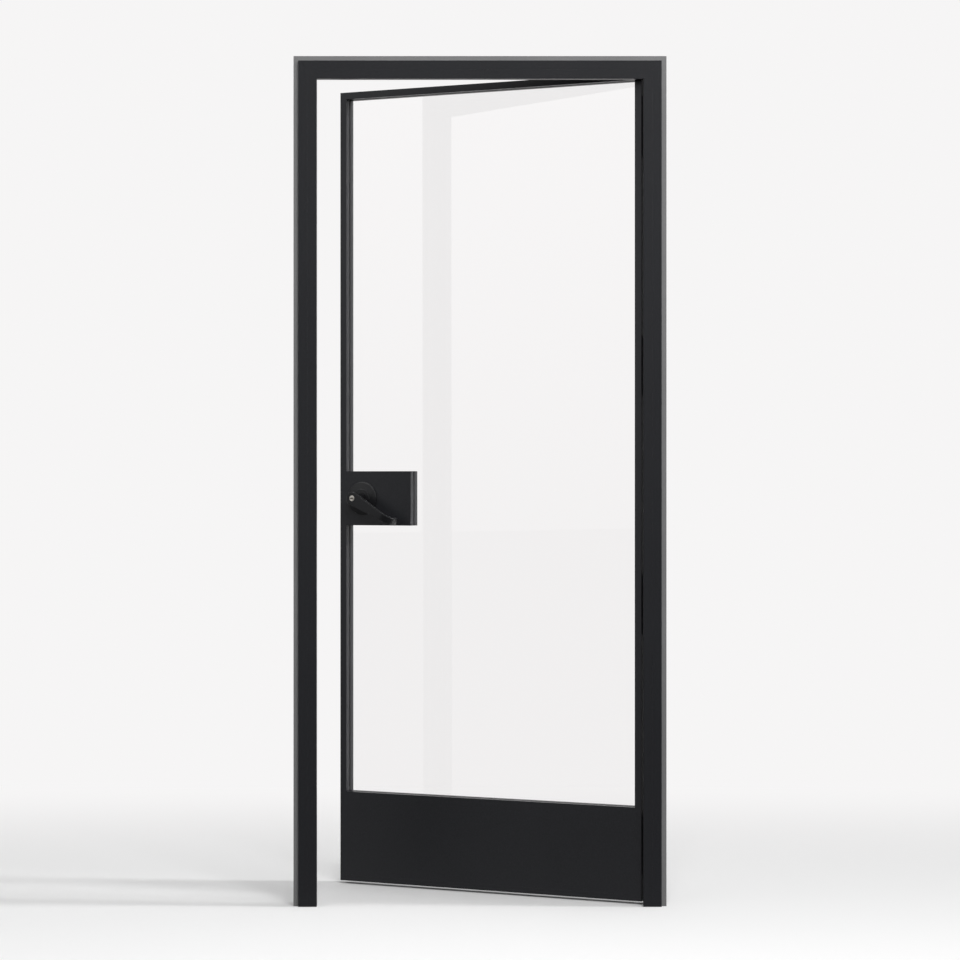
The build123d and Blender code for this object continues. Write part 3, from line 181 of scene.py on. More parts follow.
class Workpiece:
    """One mesh on the bench, shaped with edit mode operators."""

    def __init__(self, name: str) -> None:
        """Takes over the primitive that was added last.

        Args:
            name: the piece's name.
        """
        self.piece = bpy.context.active_object
        self.piece.name = name
        self.piece.data.name = name

    @classmethod
    def turned(cls, name: str, profile: Sequence[Pair], facets: int = 96) -> "Workpiece":
        """Turns a solid on the z axis.

        Args:
            name: the piece's name.
            profile: radius and height of each ring, from one end disc to the other.
            facets: sides round the axis.

        Returns:
            The solid, ready to be shaped.
        """
        clear_choice()
        radius, level = profile[0]
        bpy.ops.mesh.primitive_circle_add(
            vertices=facets, radius=radius, fill_type="NGON", location=(0, 0, level)
        )
        work = cls(name)
        bpy.ops.object.transform_apply(location=True, rotation=True, scale=True)
        work.edit()
        bpy.ops.mesh.select_all(action="SELECT")
        for ring, height in profile[1:]:
            bpy.ops.mesh.extrude_region_move(TRANSFORM_OT_translate={"value": (0, 0, height - level)})
            scale = ring / radius
            bpy.ops.transform.resize(value=(scale, scale, 1), center_override=(0, 0, height))
            radius, level = ring, height
        work.rest()
        return work

    @classmethod
    def block(cls, name: str, low: Sequence[float], high: Sequence[float]) -> "Workpiece":
        """Starts from a block between two corners.

        Args:
            name: the piece's name.
            low: lowest corner.
            high: highest corner.

        Returns:
            The block, ready to be shaped.
        """
        clear_choice()
        middle = [(a + b) / 2 for a, b in zip(low, high)]
        bpy.ops.mesh.primitive_cube_add(size=1, location=middle, scale=[b - a for a, b in zip(low, high)])
        work = cls(name)
        bpy.ops.object.transform_apply(location=True, rotation=True, scale=True)
        return work

    def choose(self) -> None:
        """Makes the piece the only one that is selected, and the active one."""
        clear_choice()
        bpy.context.view_layer.objects.active = self.piece
        self.piece.select_set(True)

    def edit(self) -> None:
        """Opens the mesh for face operators."""
        self.choose()
        bpy.ops.object.mode_set(mode="EDIT")
        bpy.ops.mesh.select_mode(type="FACE")

    def rest(self) -> None:
        """Closes the mesh again."""
        bpy.ops.object.mode_set(mode="OBJECT")

    def pick(self, wanted: Picker) -> None:
        """Selects the faces that a test on their centre and normal accepts.

        Args:
            wanted: the test.
        """
        mesh = bmesh.from_edit_mesh(self.piece.data)
        mesh.normal_update()
        for face in mesh.faces:
            face.select_set(False)
        chosen = [face for face in mesh.faces if wanted(face.calc_center_median(), face.normal)]
        for face in chosen:
            face.select_set(True)
        bmesh.update_edit_mesh(self.piece.data)

    def pick_edges(self, wanted: Picker) -> None:
        """Selects the edges that a test on their middle and direction accepts.

        Args:
            wanted: the test.
        """
        bpy.ops.mesh.select_mode(type="EDGE")
        bpy.ops.mesh.select_all(action="DESELECT")
        mesh = bmesh.from_edit_mesh(self.piece.data)
        chosen = []
        for edge in mesh.edges:
            first, second = (vertex.co for vertex in edge.verts)
            if wanted((first + second) / 2, (second - first).normalized()):
                chosen.append(edge)
        for edge in chosen:
            edge.select_set(True)
        bmesh.update_edit_mesh(self.piece.data)

    def open_through(self, level: float) -> None:
        """Joins the two end discs of a turned solid at one level, so that it becomes a ring.

        Args:
            level: height of both discs.
        """
        self.edit()
        self.pick(lambda centre, normal: abs(centre.z - level) < NEAR and centre.xy.length < NEAR)
        bpy.ops.mesh.bridge_edge_loops()
        self.rest()

    def saw(self, point: Sequence[float], away: Sequence[float]) -> None:
        """Cuts the piece with a plane, drops one side and closes the cut.

        Args:
            point: a point of the plane.
            away: direction of the side that is dropped.
        """
        self.edit()
        bpy.ops.mesh.select_all(action="SELECT")
        bpy.ops.mesh.bisect(plane_co=point, plane_no=away, use_fill=True, clear_outer=True)
        self.rest()

    def lead(self, step: Sequence[float], widen: Sequence[float] = (1, 1, 1)) -> None:
        """Extrudes the selected face by a step and scales it about the bench's origin.

        Args:
            step: the move.
            widen: scale along x, y and z.
        """
        bpy.ops.mesh.extrude_region_move(TRANSFORM_OT_translate={"value": step})
        bpy.ops.transform.resize(value=widen, center_override=(0, 0, 0))

    def apply(self, kind: str, **settings: bpy.types.Object | str | float) -> None:
        """Adds a modifier and applies it.

        Args:
            kind: the modifier's type.
            settings: its settings.
        """
        self.choose()
        modifier = self.piece.modifiers.new(kind.lower(), kind)
        for name, value in settings.items():
            setattr(modifier, name, value)
        bpy.ops.object.modifier_apply(modifier=modifier.name)

    def combine(self, other: "Workpiece", how: Join) -> None:
        """Adds another solid to this one, or cuts it away, and uses the other one up.

        No rim of the other solid may lie in a face of this one, because such a cut fails now and then.

        Args:
            other: the solid that is used up.
            how: whether it is added or cut away.
        """
        self.apply("BOOLEAN", operation=how.value, object=other.piece, solver="EXACT")
        other.remove()

    def soften(self, width: float, angle: float = 35.0) -> None:
        """Rounds the edges that are sharper than an angle.

        Args:
            width: how far the rounding reaches from the edge.
            angle: smallest turn, in degrees, that counts as an edge.
        """
        limit = {"limit_method": "ANGLE", "angle_limit": math.radians(angle)}
        self.apply("BEVEL", width=width, segments=BEVEL_STEPS, harden_normals=False, **limit)

    def true_up(self) -> None:
        """Merges doubles, points the faces outwards and shades the gentle edges smooth."""
        self.edit()
        bpy.ops.mesh.select_all(action="SELECT")
        bpy.ops.mesh.remove_doubles(threshold=NEAR)
        bpy.ops.mesh.normals_make_consistent(inside=False)
        self.rest()
        bpy.ops.object.shade_smooth_by_angle(angle=SMOOTH_ANGLE)
        self.apply("WEIGHTED_NORMAL", keep_sharp=True)

    def put(self, place: Matrix) -> None:
        """Moves the mesh, and not the object, from its drawing in millimetres to its place.

        Args:
            place: from the piece's own axes to the door's, both in metres.
        """
        self.piece.data.transform(place @ Matrix.Scale(MM, 4))
        self.piece.data.update()

    def copy(self, name: str, place: Matrix) -> "Workpiece":
        """Makes a copy with its own mesh at another place.

        Args:
            name: the copy's name.
            place: from the piece's own axes to the copy's place.

        Returns:
            The copy.
        """
        twin = self.piece.copy()
        twin.data = self.piece.data.copy()
        bpy.context.scene.collection.objects.link(twin)
        bpy.context.view_layer.objects.active = twin
        work = Workpiece(name)
        work.put(place)
        return work

    def remove(self) -> None:
        """Takes the piece off the bench."""
        bpy.data.objects.remove(self.piece, do_unlink=True)

    def gather(self, others: Sequence["Workpiece"]) -> None:
        """Joins other pieces to this one, each still a closed solid.

        Args:
            others: the pieces that are used up.
        """
        clear_choice()
        for other in others:
            other.piece.select_set(True)
        self.piece.select_set(True)
        bpy.context.view_layer.objects.active = self.piece
        bpy.ops.object.join()

    def fit(self, finish: Material, slot: str, node: str) -> None:
        """Gives the piece its finish and puts it in a node's place.

        Args:
            finish: its material.
            slot: the record's material slot; not used.
            node: the node that it stands for.
        """
        paint(self.piece, finish)
        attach(self.piece, bpy.data.objects[node]["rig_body"])
        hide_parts(node)
        LOG.info("%s: %d faces", self.piece.name, len(self.piece.data.polygons))


def clear_choice() -> None:
    """Leaves edit mode and deselects everything."""
    active = bpy.context.view_layer.objects.active
    if active is not None and active.mode != "OBJECT":
        bpy.ops.object.mode_set(mode="OBJECT")
    bpy.ops.object.select_all(action="DESELECT")


def paint(piece: bpy.types.Object, finish: Material) -> None:
    """Makes a finish the only material of a piece.

    Args:
        piece: what is painted.
        finish: its material.
    """
    piece.data.materials.clear()
    piece.data.materials.append(finish)


def paint_all(nodes: Nodes, names: Sequence[str], finish: Material) -> None:
    """Gives one finish to several nodes.

    Args:
        nodes: the fixed model's nodes.
        names: the nodes that are painted.
        finish: their material.
    """
    for name in names:
        paint(nodes[name], finish)


# Places


@dataclass(frozen=True)
class DoorSpace:
    """Where the leaf and the lock stand, read from the joints."""

    hinge: Vector
    opening: float
    lock: Vector

    @classmethod
    def from_joints(cls, joints: Sequence[dict]) -> "DoorSpace":
        """Reads the hinge line, the lock's axis and the leaf's angle.

        Args:
            joints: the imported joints.

        Returns:
            The places in the door's own frame.
        """
        by_name = {joint["name"]: joint for joint in joints}
        away = by_name["lever_turn"]["axis"]
        return cls(
            hinge=Vector(by_name["leaf_swing"]["pos_m"]),
            opening=math.atan2(away[0], away[1]),
            lock=Vector(by_name["lever_turn"]["pos_m"]),
        )

    def leaf(self) -> Matrix:
        """Turn from the closed leaf to where it stands."""
        turn = Matrix.Rotation(-self.opening, 4, "Z")
        return Matrix.Translation(self.hinge) @ turn @ Matrix.Translation(-self.hinge)

    def closed_box(self, node: str) -> tuple[Vector, Vector]:
        """Finds a leaf node's box as it would be on the closed leaf.

        Args:
            node: the node's name.

        Returns:
            Its lowest and its highest corner.
        """
        back = self.leaf().inverted()
        return box_of([back @ vertex.co for vertex in bpy.data.objects[node].data.vertices])

    def lock_face(self, face: LeafFace) -> Matrix:
        """Finds the axes of a lock face: x to its right, y up and z out of it, from the lock's axis.

        Args:
            face: the leaf's face.

        Returns:
            The turn and move from those axes to the door's.
        """
        centre = self.leaf().inverted() @ self.lock
        if face is LeafFace.OUTSIDE:
            axes = Matrix(((1, 0, 0), (0, 0, -1), (0, 1, 0)))
        else:
            axes = Matrix(((-1, 0, 0), (0, 0, 1), (0, 1, 0)))
            centre.y = self.closed_box("lock_stile")[1].y
        return self.leaf() @ Matrix.Translation(centre) @ axes.to_4x4()


# Finishes


class Graph:
    """A shader tree that is being wired, where a socket takes a constant or another node's output."""

    def __init__(self, tree: bpy.types.NodeTree) -> None:
        """Empties a tree.

        Args:
            tree: the tree of a material or of the world.
        """
        self.tree = tree
        tree.nodes.clear()

    def feed(self, target: Socket, source: Source) -> None:
        """Links a socket or sets its constant.

        Args:
            target: the socket that is fed.
            source: a constant or another node's output.
        """
        if isinstance(source, Socket):
            self.tree.links.new(source, target)
        else:
            target.default_value = source

    def add(self, kind: str, feeds: dict[str | int, Source], **settings: str | int) -> Outputs:
        """Adds a node and feeds its sockets.

        Args:
            kind: the node's type.
            feeds: what goes into each socket, by name or number.
            settings: the node's own settings.

        Returns:
            The node's outputs.
        """
        node = self.tree.nodes.new(kind)
        for name, value in settings.items():
            setattr(node, name, value)
        for socket, source in feeds.items():
            self.feed(node.inputs[socket], source)
        return node.outputs

    def reckon(self, how: str, first: Source, second: Source) -> Socket:
        """Combines two values.

        Args:
            how: the operation.
            first: one value.
            second: the other.

        Returns:
            The result.
        """
        return self.add("ShaderNodeMath", {0: first, 1: second}, operation=how)[0]

    def ramp(self, source: Socket, span: Pair, result: Pair = (0.0, 1.0), curve: str = "LINEAR") -> Socket:
        """Maps a span of values to another and holds its ends.

        Args:
            source: the value.
            span: start and end of the span.
            result: what the start and the end become.
            curve: shape of the change.

        Returns:
            The mapped value.
        """
        ends = {"From Min": span[0], "From Max": span[1], "To Min": result[0], "To Max": result[1]}
        feeds = {"Value": source, **ends}
        return self.add("ShaderNodeMapRange", feeds, interpolation_type=curve)["Result"]

    def blend(self, share: Socket, first: Socket, second: Socket) -> Socket:
        """Mixes two shaders.

        Args:
            share: the second shader's share.
            first: shader at share 0.
            second: shader at share 1.

        Returns:
            The mixed shader.
        """
        return self.add("ShaderNodeMixShader", {0: share, 1: first, 2: second})[0]

    def rays(self) -> Outputs:
        """Tells the kinds of rays apart."""
        return self.add("ShaderNodeLightPath", {})

    def eye_rays(self) -> Socket:
        """Marks the rays that come from the camera, straight or through glass."""
        rays = self.rays()
        return self.reckon("MAXIMUM", rays["Is Camera Ray"], rays["Is Transmission Ray"])


class Wiring(Graph):
    """A material whose nodes are being joined to one Principled shader."""

    def __init__(self, name: str) -> None:
        """Starts a material with its shader and object coordinates.

        Args:
            name: the material's name.
        """
        self.material = bpy.data.materials.new(name)
        self.material.use_nodes = True
        super().__init__(self.material.node_tree)
        self.surface = self.tree.nodes.new("ShaderNodeOutputMaterial").inputs["Surface"]
        self.shader = self.tree.nodes.new("ShaderNodeBsdfPrincipled")
        self.feed(self.surface, self.shader.outputs["BSDF"])
        self.place = self.add("ShaderNodeTexCoord", {})["Object"]

    def set(self, **sources: Source) -> None:
        """Feeds sockets of the shader, with spaces in their names as underscores.

        Args:
            sources: socket names and what they take.
        """
        for name, source in sources.items():
            self.feed(self.shader.inputs[name.replace("_", " ")], source)

    def stretched(self, factors: Sequence[float]) -> Socket:
        """Scales the object's coordinates by factors along x, y and z."""
        return self.add("ShaderNodeMapping", {"Vector": self.place, "Scale": factors})["Vector"]

    def noise(self, scale: float, detail: float = 2.0, at: Socket | None = None) -> Socket:
        """Adds cloudy noise.

        Args:
            scale: features in a metre.
            detail: finer octaves.
            at: the coordinates, or None for the object's own.

        Returns:
            The noise, from 0 to 1.
        """
        feeds = {"Scale": scale, "Detail": detail, "Vector": at or self.place}
        return self.add("ShaderNodeTexNoise", feeds)["Fac"]

    def cloud(self, scale: float, low: float, high: float, detail: float = 2.0) -> Socket:
        """Varies a value over the piece.

        Args:
            scale: features in a metre.
            low: value where the noise is dark.
            high: value where it is bright.
            detail: finer octaves.

        Returns:
            The varying value.
        """
        return self.ramp(self.noise(scale, detail), NOISE_MIDDLE, (low, high))

    def tint(self, shade: Colour, strength: Socket) -> None:
        """Makes the base colour a shade times a varying strength.

        Args:
            shade: the colour at strength 1.
            strength: the varying factor.
        """
        scaled = self.add("ShaderNodeVectorMath", {0: shade, "Scale": strength}, operation="SCALE")
        self.set(Base_Color=scaled[0])

    def relief(self, height: Socket, depth: float, edge_radius: float) -> None:
        """Adds a bump over edges that are rounded by a small radius.

        Args:
            height: the bump's height, from 0 to 1.
            depth: depth of the bump.
            edge_radius: radius of the edges' rounding, or 0 for none.
        """
        feeds = {"Distance": depth, "Height": height}
        if edge_radius > 0:
            edge = self.add("ShaderNodeBevel", {"Radius": edge_radius}, samples=BEVEL_SAMPLES)
            feeds["Normal"] = edge["Normal"]
        self.set(Normal=self.add("ShaderNodeBump", feeds)["Normal"])


@dataclass(frozen=True)
class PowderCoat:
    """Baked powder coat: a fine speckle, orange peel and a slow unevenness."""

    name: str
    shade: Colour
    roughness: float = 0.42
    shine: float = 0.35
    speckle: float = 0.25
    speckle_scale: float = 280.0
    cloud: float = 0.05
    cloud_scale: float = 3.5
    gloss_drift: float = 0.04
    gloss_scale: float = 160.0
    peel_depth: float = 0.03 * MM
    peel_scale: float = 900.0
    edge_radius: float = 0.6 * MM

    def build(self) -> Material:
        """Wires the finish.

        Returns:
            The material.
        """
        wiring = Wiring(self.name)
        grain = wiring.cloud(self.speckle_scale, 1 - self.speckle, 1 + self.speckle, 3)
        drift = wiring.cloud(self.cloud_scale, 1 - self.cloud, 1 + self.cloud)
        low, high = self.roughness - self.gloss_drift, self.roughness + self.gloss_drift
        gloss = wiring.cloud(self.gloss_scale, low, high, 3)
        wiring.tint(self.shade, wiring.reckon("MULTIPLY", grain, drift))
        wiring.set(Specular_IOR_Level=self.shine, Roughness=gloss)
        wiring.relief(wiring.noise(self.peel_scale), self.peel_depth, self.edge_radius)
        return wiring.material


@dataclass(frozen=True)
class BareMetal:
    """Plated, drawn or brushed metal with a grain along one direction."""

    name: str
    shade: Colour
    roughness: float
    grain: Triple
    grain_depth: float = 0.01 * MM
    grain_detail: float = 4.0
    smoothest: float = 0.05
    roughest: float = 0.07
    unevenness: float = 0.08
    cloud_scale: float = 24.0
    edge_radius: float = 0.2 * MM

    def build(self) -> Material:
        """Wires the finish.

        Returns:
            The material.
        """
        wiring = Wiring(self.name)
        lines = wiring.noise(1, self.grain_detail, wiring.stretched(self.grain))
        wiring.tint(self.shade, wiring.cloud(self.cloud_scale, 1 - self.unevenness, 1.0))
        dullness = (self.roughness - self.smoothest, self.roughness + self.roughest)
        wiring.set(Metallic=1.0, Roughness=wiring.ramp(lines, NOISE_MIDDLE, dullness))
        wiring.relief(lines, self.grain_depth, self.edge_radius)
        return wiring.material


@dataclass(frozen=True)
class SoftRubber:
    """Extruded rubber, dull with a faint bloom."""

    name: str
    shade: Colour
    shine: float = 0.3
    bloom: Pair = (0.8, 1.25)
    bloom_scale: float = 60.0
    roughness: Pair = (0.56, 0.72)
    roughness_scale: float = 260.0
    skin_depth: float = 0.02 * MM
    skin_scale: float = 1500.0

    def build(self) -> Material:
        """Wires the finish.

        Returns:
            The material.
        """
        wiring = Wiring(self.name)
        wiring.tint(self.shade, wiring.cloud(self.bloom_scale, *self.bloom, 3))
        dullness = wiring.cloud(self.roughness_scale, *self.roughness)
        wiring.set(Specular_IOR_Level=self.shine, Roughness=dullness)
        wiring.relief(wiring.noise(self.skin_scale), self.skin_depth, 0.0)
        return wiring.material


@dataclass(frozen=True)
class ClearGlass:
    """Toughened clear glass that lets lamps through."""

    name: str
    shade: Colour
    refraction: float = 1.5
    lamp_share: float = 0.88
    waviness: float = 0.004 * MM
    wave_scale: float = 2.2

    def build(self) -> Material:
        """Wires the finish.

        Returns:
            The material.
        """
        wiring = Wiring(self.name)
        wiring.set(Base_Color=(*self.shade, 1), Roughness=0.0, IOR=self.refraction, Transmission_Weight=1.0)
        wiring.relief(wiring.noise(self.wave_scale, 1), self.waviness, 0.0)
        clear = wiring.add("ShaderNodeBsdfTransparent", {"Color": (*(self.lamp_share,) * 3, 1)})[0]
        mixed = wiring.blend(wiring.rays()["Is Shadow Ray"], wiring.shader.outputs["BSDF"], clear)
        wiring.feed(wiring.surface, mixed)
        return wiring.material


@dataclass
class FinishSet:
    """Every finish on the door, built once."""

    black: Material
    grey: Material
    trim: Material
    steel: Material
    nickel: Material
    bright: Material
    zinc: Material
    mill: Material
    glass: Material
    rubber: Material

    @classmethod
    def mixed(cls) -> "FinishSet":
        """Builds the finishes from their recipes.

        Returns:
            The finishes.
        """
        return cls(
            black=PowderCoat("satin_black", (0.0125, 0.0129, 0.0152)).build(),
            grey=PowderCoat("satin_grey", (0.185, 0.185, 0.187), roughness=0.5, speckle=0.05).build(),
            trim=PowderCoat("trim_black", (0.0098, 0.01, 0.0112), roughness=0.34, shine=0.32).build(),
            steel=PowderCoat("hinge_black", (0.012, 0.0124, 0.0132), roughness=0.34, shine=0.45).build(),
            nickel=BareMetal("satin_nickel", (0.66, 0.63, 0.58), 0.26, (2600,) * 3, 0.002 * MM).build(),
            bright=BareMetal("bright_steel", (0.6, 0.6, 0.6), 0.22, (1400, 1400, 120)).build(),
            zinc=BareMetal("zinc_plate", (0.52, 0.53, 0.52), 0.34, (160,) * 3).build(),
            mill=BareMetal("mill_aluminium", (0.7, 0.7, 0.71), 0.32, (1200, 1200, 12)).build(),
            glass=ClearGlass("clear_glass", (0.99, 0.985, 0.985)).build(),
            rubber=SoftRubber("black_rubber", (0.018, 0.018, 0.019)).build(),
        )


# Sub-assemblies


@dataclass
class DoorFrame:
    """Jambs, head, stops, perimeter channel, seals and the strike."""

    coated: tuple[str, ...] = (
        "strike_jamb", "hinge_jamb", "head_jamb", "strike_side_stop", "hinge_side_stop", "head_stop",
    )
    channels: tuple[str, ...] = ("strike_side_channel", "hinge_side_channel", "head_channel")
    seals: tuple[str, ...] = ("strike_side_seal", "hinge_side_seal", "head_seal")
    plated: tuple[str, ...] = ("frame_backing_plates", "strike_box")

    def dress(self, nodes: Nodes, finishes: FinishSet) -> None:
        """Gives the frame's nodes their finishes.

        Args:
            nodes: the fixed model's nodes.
            finishes: the door's finishes.
        """
        paint_all(nodes, self.coated, finishes.black)
        paint_all(nodes, self.channels, finishes.grey)
        paint_all(nodes, self.seals, finishes.rubber)
        paint_all(nodes, self.plated, finishes.zinc)
        paint(nodes["strike_plate"], finishes.steel)
        paint(nodes["frame_corner_keys"], finishes.mill)


@dataclass
class DoorLeaf:
    """Stiles, rails, glass and what holds the glass."""

    coated: tuple[str, ...] = ("lock_stile", "hinge_stile", "top_rail", "bottom_rail", "bottom_cap")
    gaskets: tuple[str, ...] = ("glazing_gasket_near", "glazing_gasket_far", "setting_blocks")
    plated: tuple[str, ...] = ("tie_rods", "leaf_backing_plates")

    def dress(self, nodes: Nodes, finishes: FinishSet) -> None:
        """Gives the leaf's nodes their finishes.

        Args:
            nodes: the fixed model's nodes.
            finishes: the door's finishes.
        """
        paint_all(nodes, self.coated, finishes.black)
        paint_all(nodes, self.gaskets, finishes.rubber)
        paint_all(nodes, self.plated, finishes.zinc)
        paint(nodes["leaf_corner_keys"], finishes.mill)
        paint(nodes["glass_pane"], finishes.glass)


@dataclass
class Screw:
    """Countersunk screw with a cross recess, its head at the origin and its shank downwards."""

    head_radius: float
    shank_radius: float
    length: float
    rim: float = 0.25
    tip_share: float = 0.6
    tip_length: float = 1.0
    recess_width: float = 0.26
    recess_reach: float = 0.62
    recess_depth: float = 0.45
    recess_taper: float = 0.55
    second_slot: float = 0.96
    first_spin: float = 23.0
    spin_step: float = 41.0

    def cut(self) -> Workpiece:
        """Makes one screw, with one slot of its cross shallower so that the floors don't meet.

        Returns:
            The screw on the bench.
        """
        head, shank = self.head_radius, self.shank_radius
        profile = (
            (shank * self.tip_share, -self.length), (shank, self.tip_length - self.length),
            (shank, shank - head), (head, -self.rim), (head - self.rim, 0),
        )
        screw = Workpiece.turned("screw_pattern", profile, facets=40)
        wide, reach = head * self.recess_width / 2, head * self.recess_reach
        depth = head * self.recess_depth
        for half_x, half_y, deep in ((reach, wide, depth), (wide, reach, depth * self.second_slot)):
            blade = Workpiece.block("recess", (-half_x, -half_y, -deep), (half_x, half_y, 1))
            blade.edit()
            blade.pick(lambda centre, normal: normal.z < -0.9)
            taper = (self.recess_taper, self.recess_taper, 1)
            bpy.ops.transform.resize(value=taper, center_override=(0, 0, -deep))
            blade.rest()
            screw.combine(blade, Join.CUT)
        screw.true_up()
        return screw

    def fit_all(
        self, node: str, space: DoorSpace, on_leaf: bool, outward: int, finish: Material
    ) -> None:
        """Puts one screw at each screw of a node.

        Args:
            node: the node with the screws.
            space: the door's places.
            on_leaf: whether the screws turn with the leaf.
            outward: 1 where the heads face the closed door's right, -1 where they face its left.
            finish: their material.
        """
        onto = space.leaf() if on_leaf else Matrix.Identity(4)
        pattern = self.cut()
        turn = Matrix.Rotation(outward * math.pi / 2, 4, "Y")
        copies = []
        for number, (low, high) in enumerate(loose_boxes(bpy.data.objects[node], onto.inverted())):
            middle = (low + high) / 2
            middle.x = high.x if outward > 0 else low.x
            spin = Matrix.Rotation(math.radians(self.first_spin + self.spin_step * number), 4, "Z")
            place = onto @ Matrix.Translation(middle) @ turn @ spin
            copies.append(pattern.copy(f"screw_{number}", place))
        pattern.remove()
        screws = copies[0]
        screws.gather(copies[1:])
        screws.piece.name = f"{node}_set"
        screws.fit(finish, "black_steel", node)


@dataclass
class HingeRow:
    """The butt hinges of the leaf, drawn about the pin with x to the right and z up."""

    count: int = 4
    height: float = 160.0
    knuckle_radius: float = 10.0
    knuckle_gap: float = 1.0
    plate_near: float = 0.25
    plate_thickness: float = 2.0
    plate_reach: float = 48.0
    plate_corner: float = 3.0
    corner_steps: int = 6
    pin_radius: float = 5.0
    pin_play: float = 0.05
    turning_play: float = 0.3
    cap_radius: float = 7.5
    cap_height: float = 2.0
    cap_crown: float = 3.0
    rounding: float = 0.6
    end_rim: float = 2.0
    facets: int = 72
    screw: Screw = field(default_factory=lambda: Screw(4.8, 2.9, 9.0))
    screw_rows: Pair = (-41.2, -18.8)
    screw_height: float = 58.0
    drill_play: float = 0.1
    drill_depth: float = 4.0
    drill_rise: float = 1.0

    def knuckle(self, low: float, high: float) -> Workpiece:
        """Makes a solid knuckle.

        Args:
            low: height of its lower end.
            high: height of its upper end.

        Returns:
            The knuckle on the bench.
        """
        radius, inner, soft = self.knuckle_radius, self.knuckle_radius - self.end_rim, self.rounding
        corners = ((inner, low, 0), (radius, low, soft), (radius, high, soft), (inner, high, 0))
        return Workpiece.turned("knuckle", filleted(corners), facets=self.facets)

    def half(self, name: str, side: int, own: Sequence[Pair], gaps: Sequence[Pair]) -> Workpiece:
        """Makes a hinge half: its plate, its knuckles and the bore for the pin.

        Args:
            name: the piece's name.
            side: 1 for the plate on the jamb's side, -1 for the leaf's.
            own: heights of its knuckles.
            gaps: heights where the other half's knuckles turn.

        Returns:
            The half on the bench.
        """
        near, far = sorted((side * self.plate_near, side * (self.plate_near + self.plate_thickness)))
        end = self.height / 2
        plate = Workpiece.block(name, (near, -self.plate_reach, -end), (far, 0, end))
        plate.edit()
        plate.pick_edges(lambda middle, along: abs(along.x) > 0.9 and middle.y < -1)
        bpy.ops.mesh.bevel(offset=self.plate_corner, segments=self.corner_steps, affect="EDGES")
        plate.rest()
        reach = self.knuckle_radius + self.turning_play
        for low, high in gaps:
            plate.combine(Workpiece.turned("gap", ((reach, low + CLEAR), (reach, high - CLEAR))), Join.CUT)
        for low, high in own:
            plate.combine(self.knuckle(low, high), Join.ADD)
        bore = self.pin_radius + self.pin_play
        plate.combine(Workpiece.turned("bore", ((bore, -self.height), (bore, self.height))), Join.CUT)
        return plate

    def pin(self) -> Workpiece:
        """Makes a pin with a domed cap at each end.

        Returns:
            The pin on the bench.
        """
        half, top = self.height / 2, self.height / 2 + self.cap_height
        crown = (self.cap_radius - self.cap_crown, top, 0)
        upper = ((self.pin_radius, half, 0), (self.cap_radius, half, 0.3), (self.cap_radius, top, 1.2), crown)
        lower = tuple((radius, -height, soft) for radius, height, soft in reversed(upper))
        return Workpiece.turned("pin", filleted(lower + upper), facets=self.facets)

    def drill(self, half: Workpiece, side: int) -> None:
        """Countersinks a half for its four screws.

        Args:
            half: the hinge half.
            side: 1 for the jamb's half, -1 for the leaf's.
        """
        face = self.plate_near if side > 0 else -self.plate_near
        head, shank = self.screw.head_radius + self.drill_play, self.screw.shank_radius + self.drill_play
        rise = self.drill_rise
        for y in self.screw_rows:
            for z in (-self.screw_height, self.screw_height):
                profile = ((shank, -self.drill_depth), (shank, shank - head), (head + rise, rise))
                cone = Workpiece.turned("cone", profile, facets=40)
                turn = Matrix.Rotation(-side * math.pi / 2, 4, "Y")
                cone.piece.data.transform(Matrix.Translation((face, y, z)) @ turn)
                half.combine(cone, Join.CUT)

    def build(self, space: DoorSpace, finishes: FinishSet) -> None:
        """Makes one hinge and fits a copy of it at each hinge's height.

        Args:
            space: the door's places.
            finishes: the door's finishes.
        """
        end, middle = self.height / 2, (self.height - 2 * self.knuckle_gap) / 3 / 2
        inner = middle + self.knuckle_gap
        frame_half = self.half("frame_half", 1, ((-end, -inner), (inner, end)), ((-inner, inner),))
        leaf_half = self.half("leaf_half", -1, ((-middle, middle),), ((-end - 1, -middle), (middle, end + 1)))
        pin = self.pin()
        self.drill(frame_half, 1)
        self.drill(leaf_half, -1)
        for pattern in (frame_half, leaf_half, pin):
            pattern.true_up()
        for number in range(1, self.count + 1):
            low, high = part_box(f"hinge_{number}_pin")
            place = Matrix.Translation((space.hinge.x, space.hinge.y, (low[2] + high[2]) / 2))
            for pattern, part, onto in (
                (frame_half, "frame_half", place), (leaf_half, "leaf_half", space.leaf() @ place),
                (pin, "pin", place),
            ):
                node = f"hinge_{number}_{part}"
                pattern.copy(f"{node}_finished", onto).fit(finishes.steel, "black_steel", node)
        for pattern in (frame_half, leaf_half, pin):
            pattern.remove()
        self.screw.fit_all("frame_hinge_screws", space, False, -1, finishes.steel)
        self.screw.fit_all("leaf_hinge_screws", space, True, 1, finishes.steel)


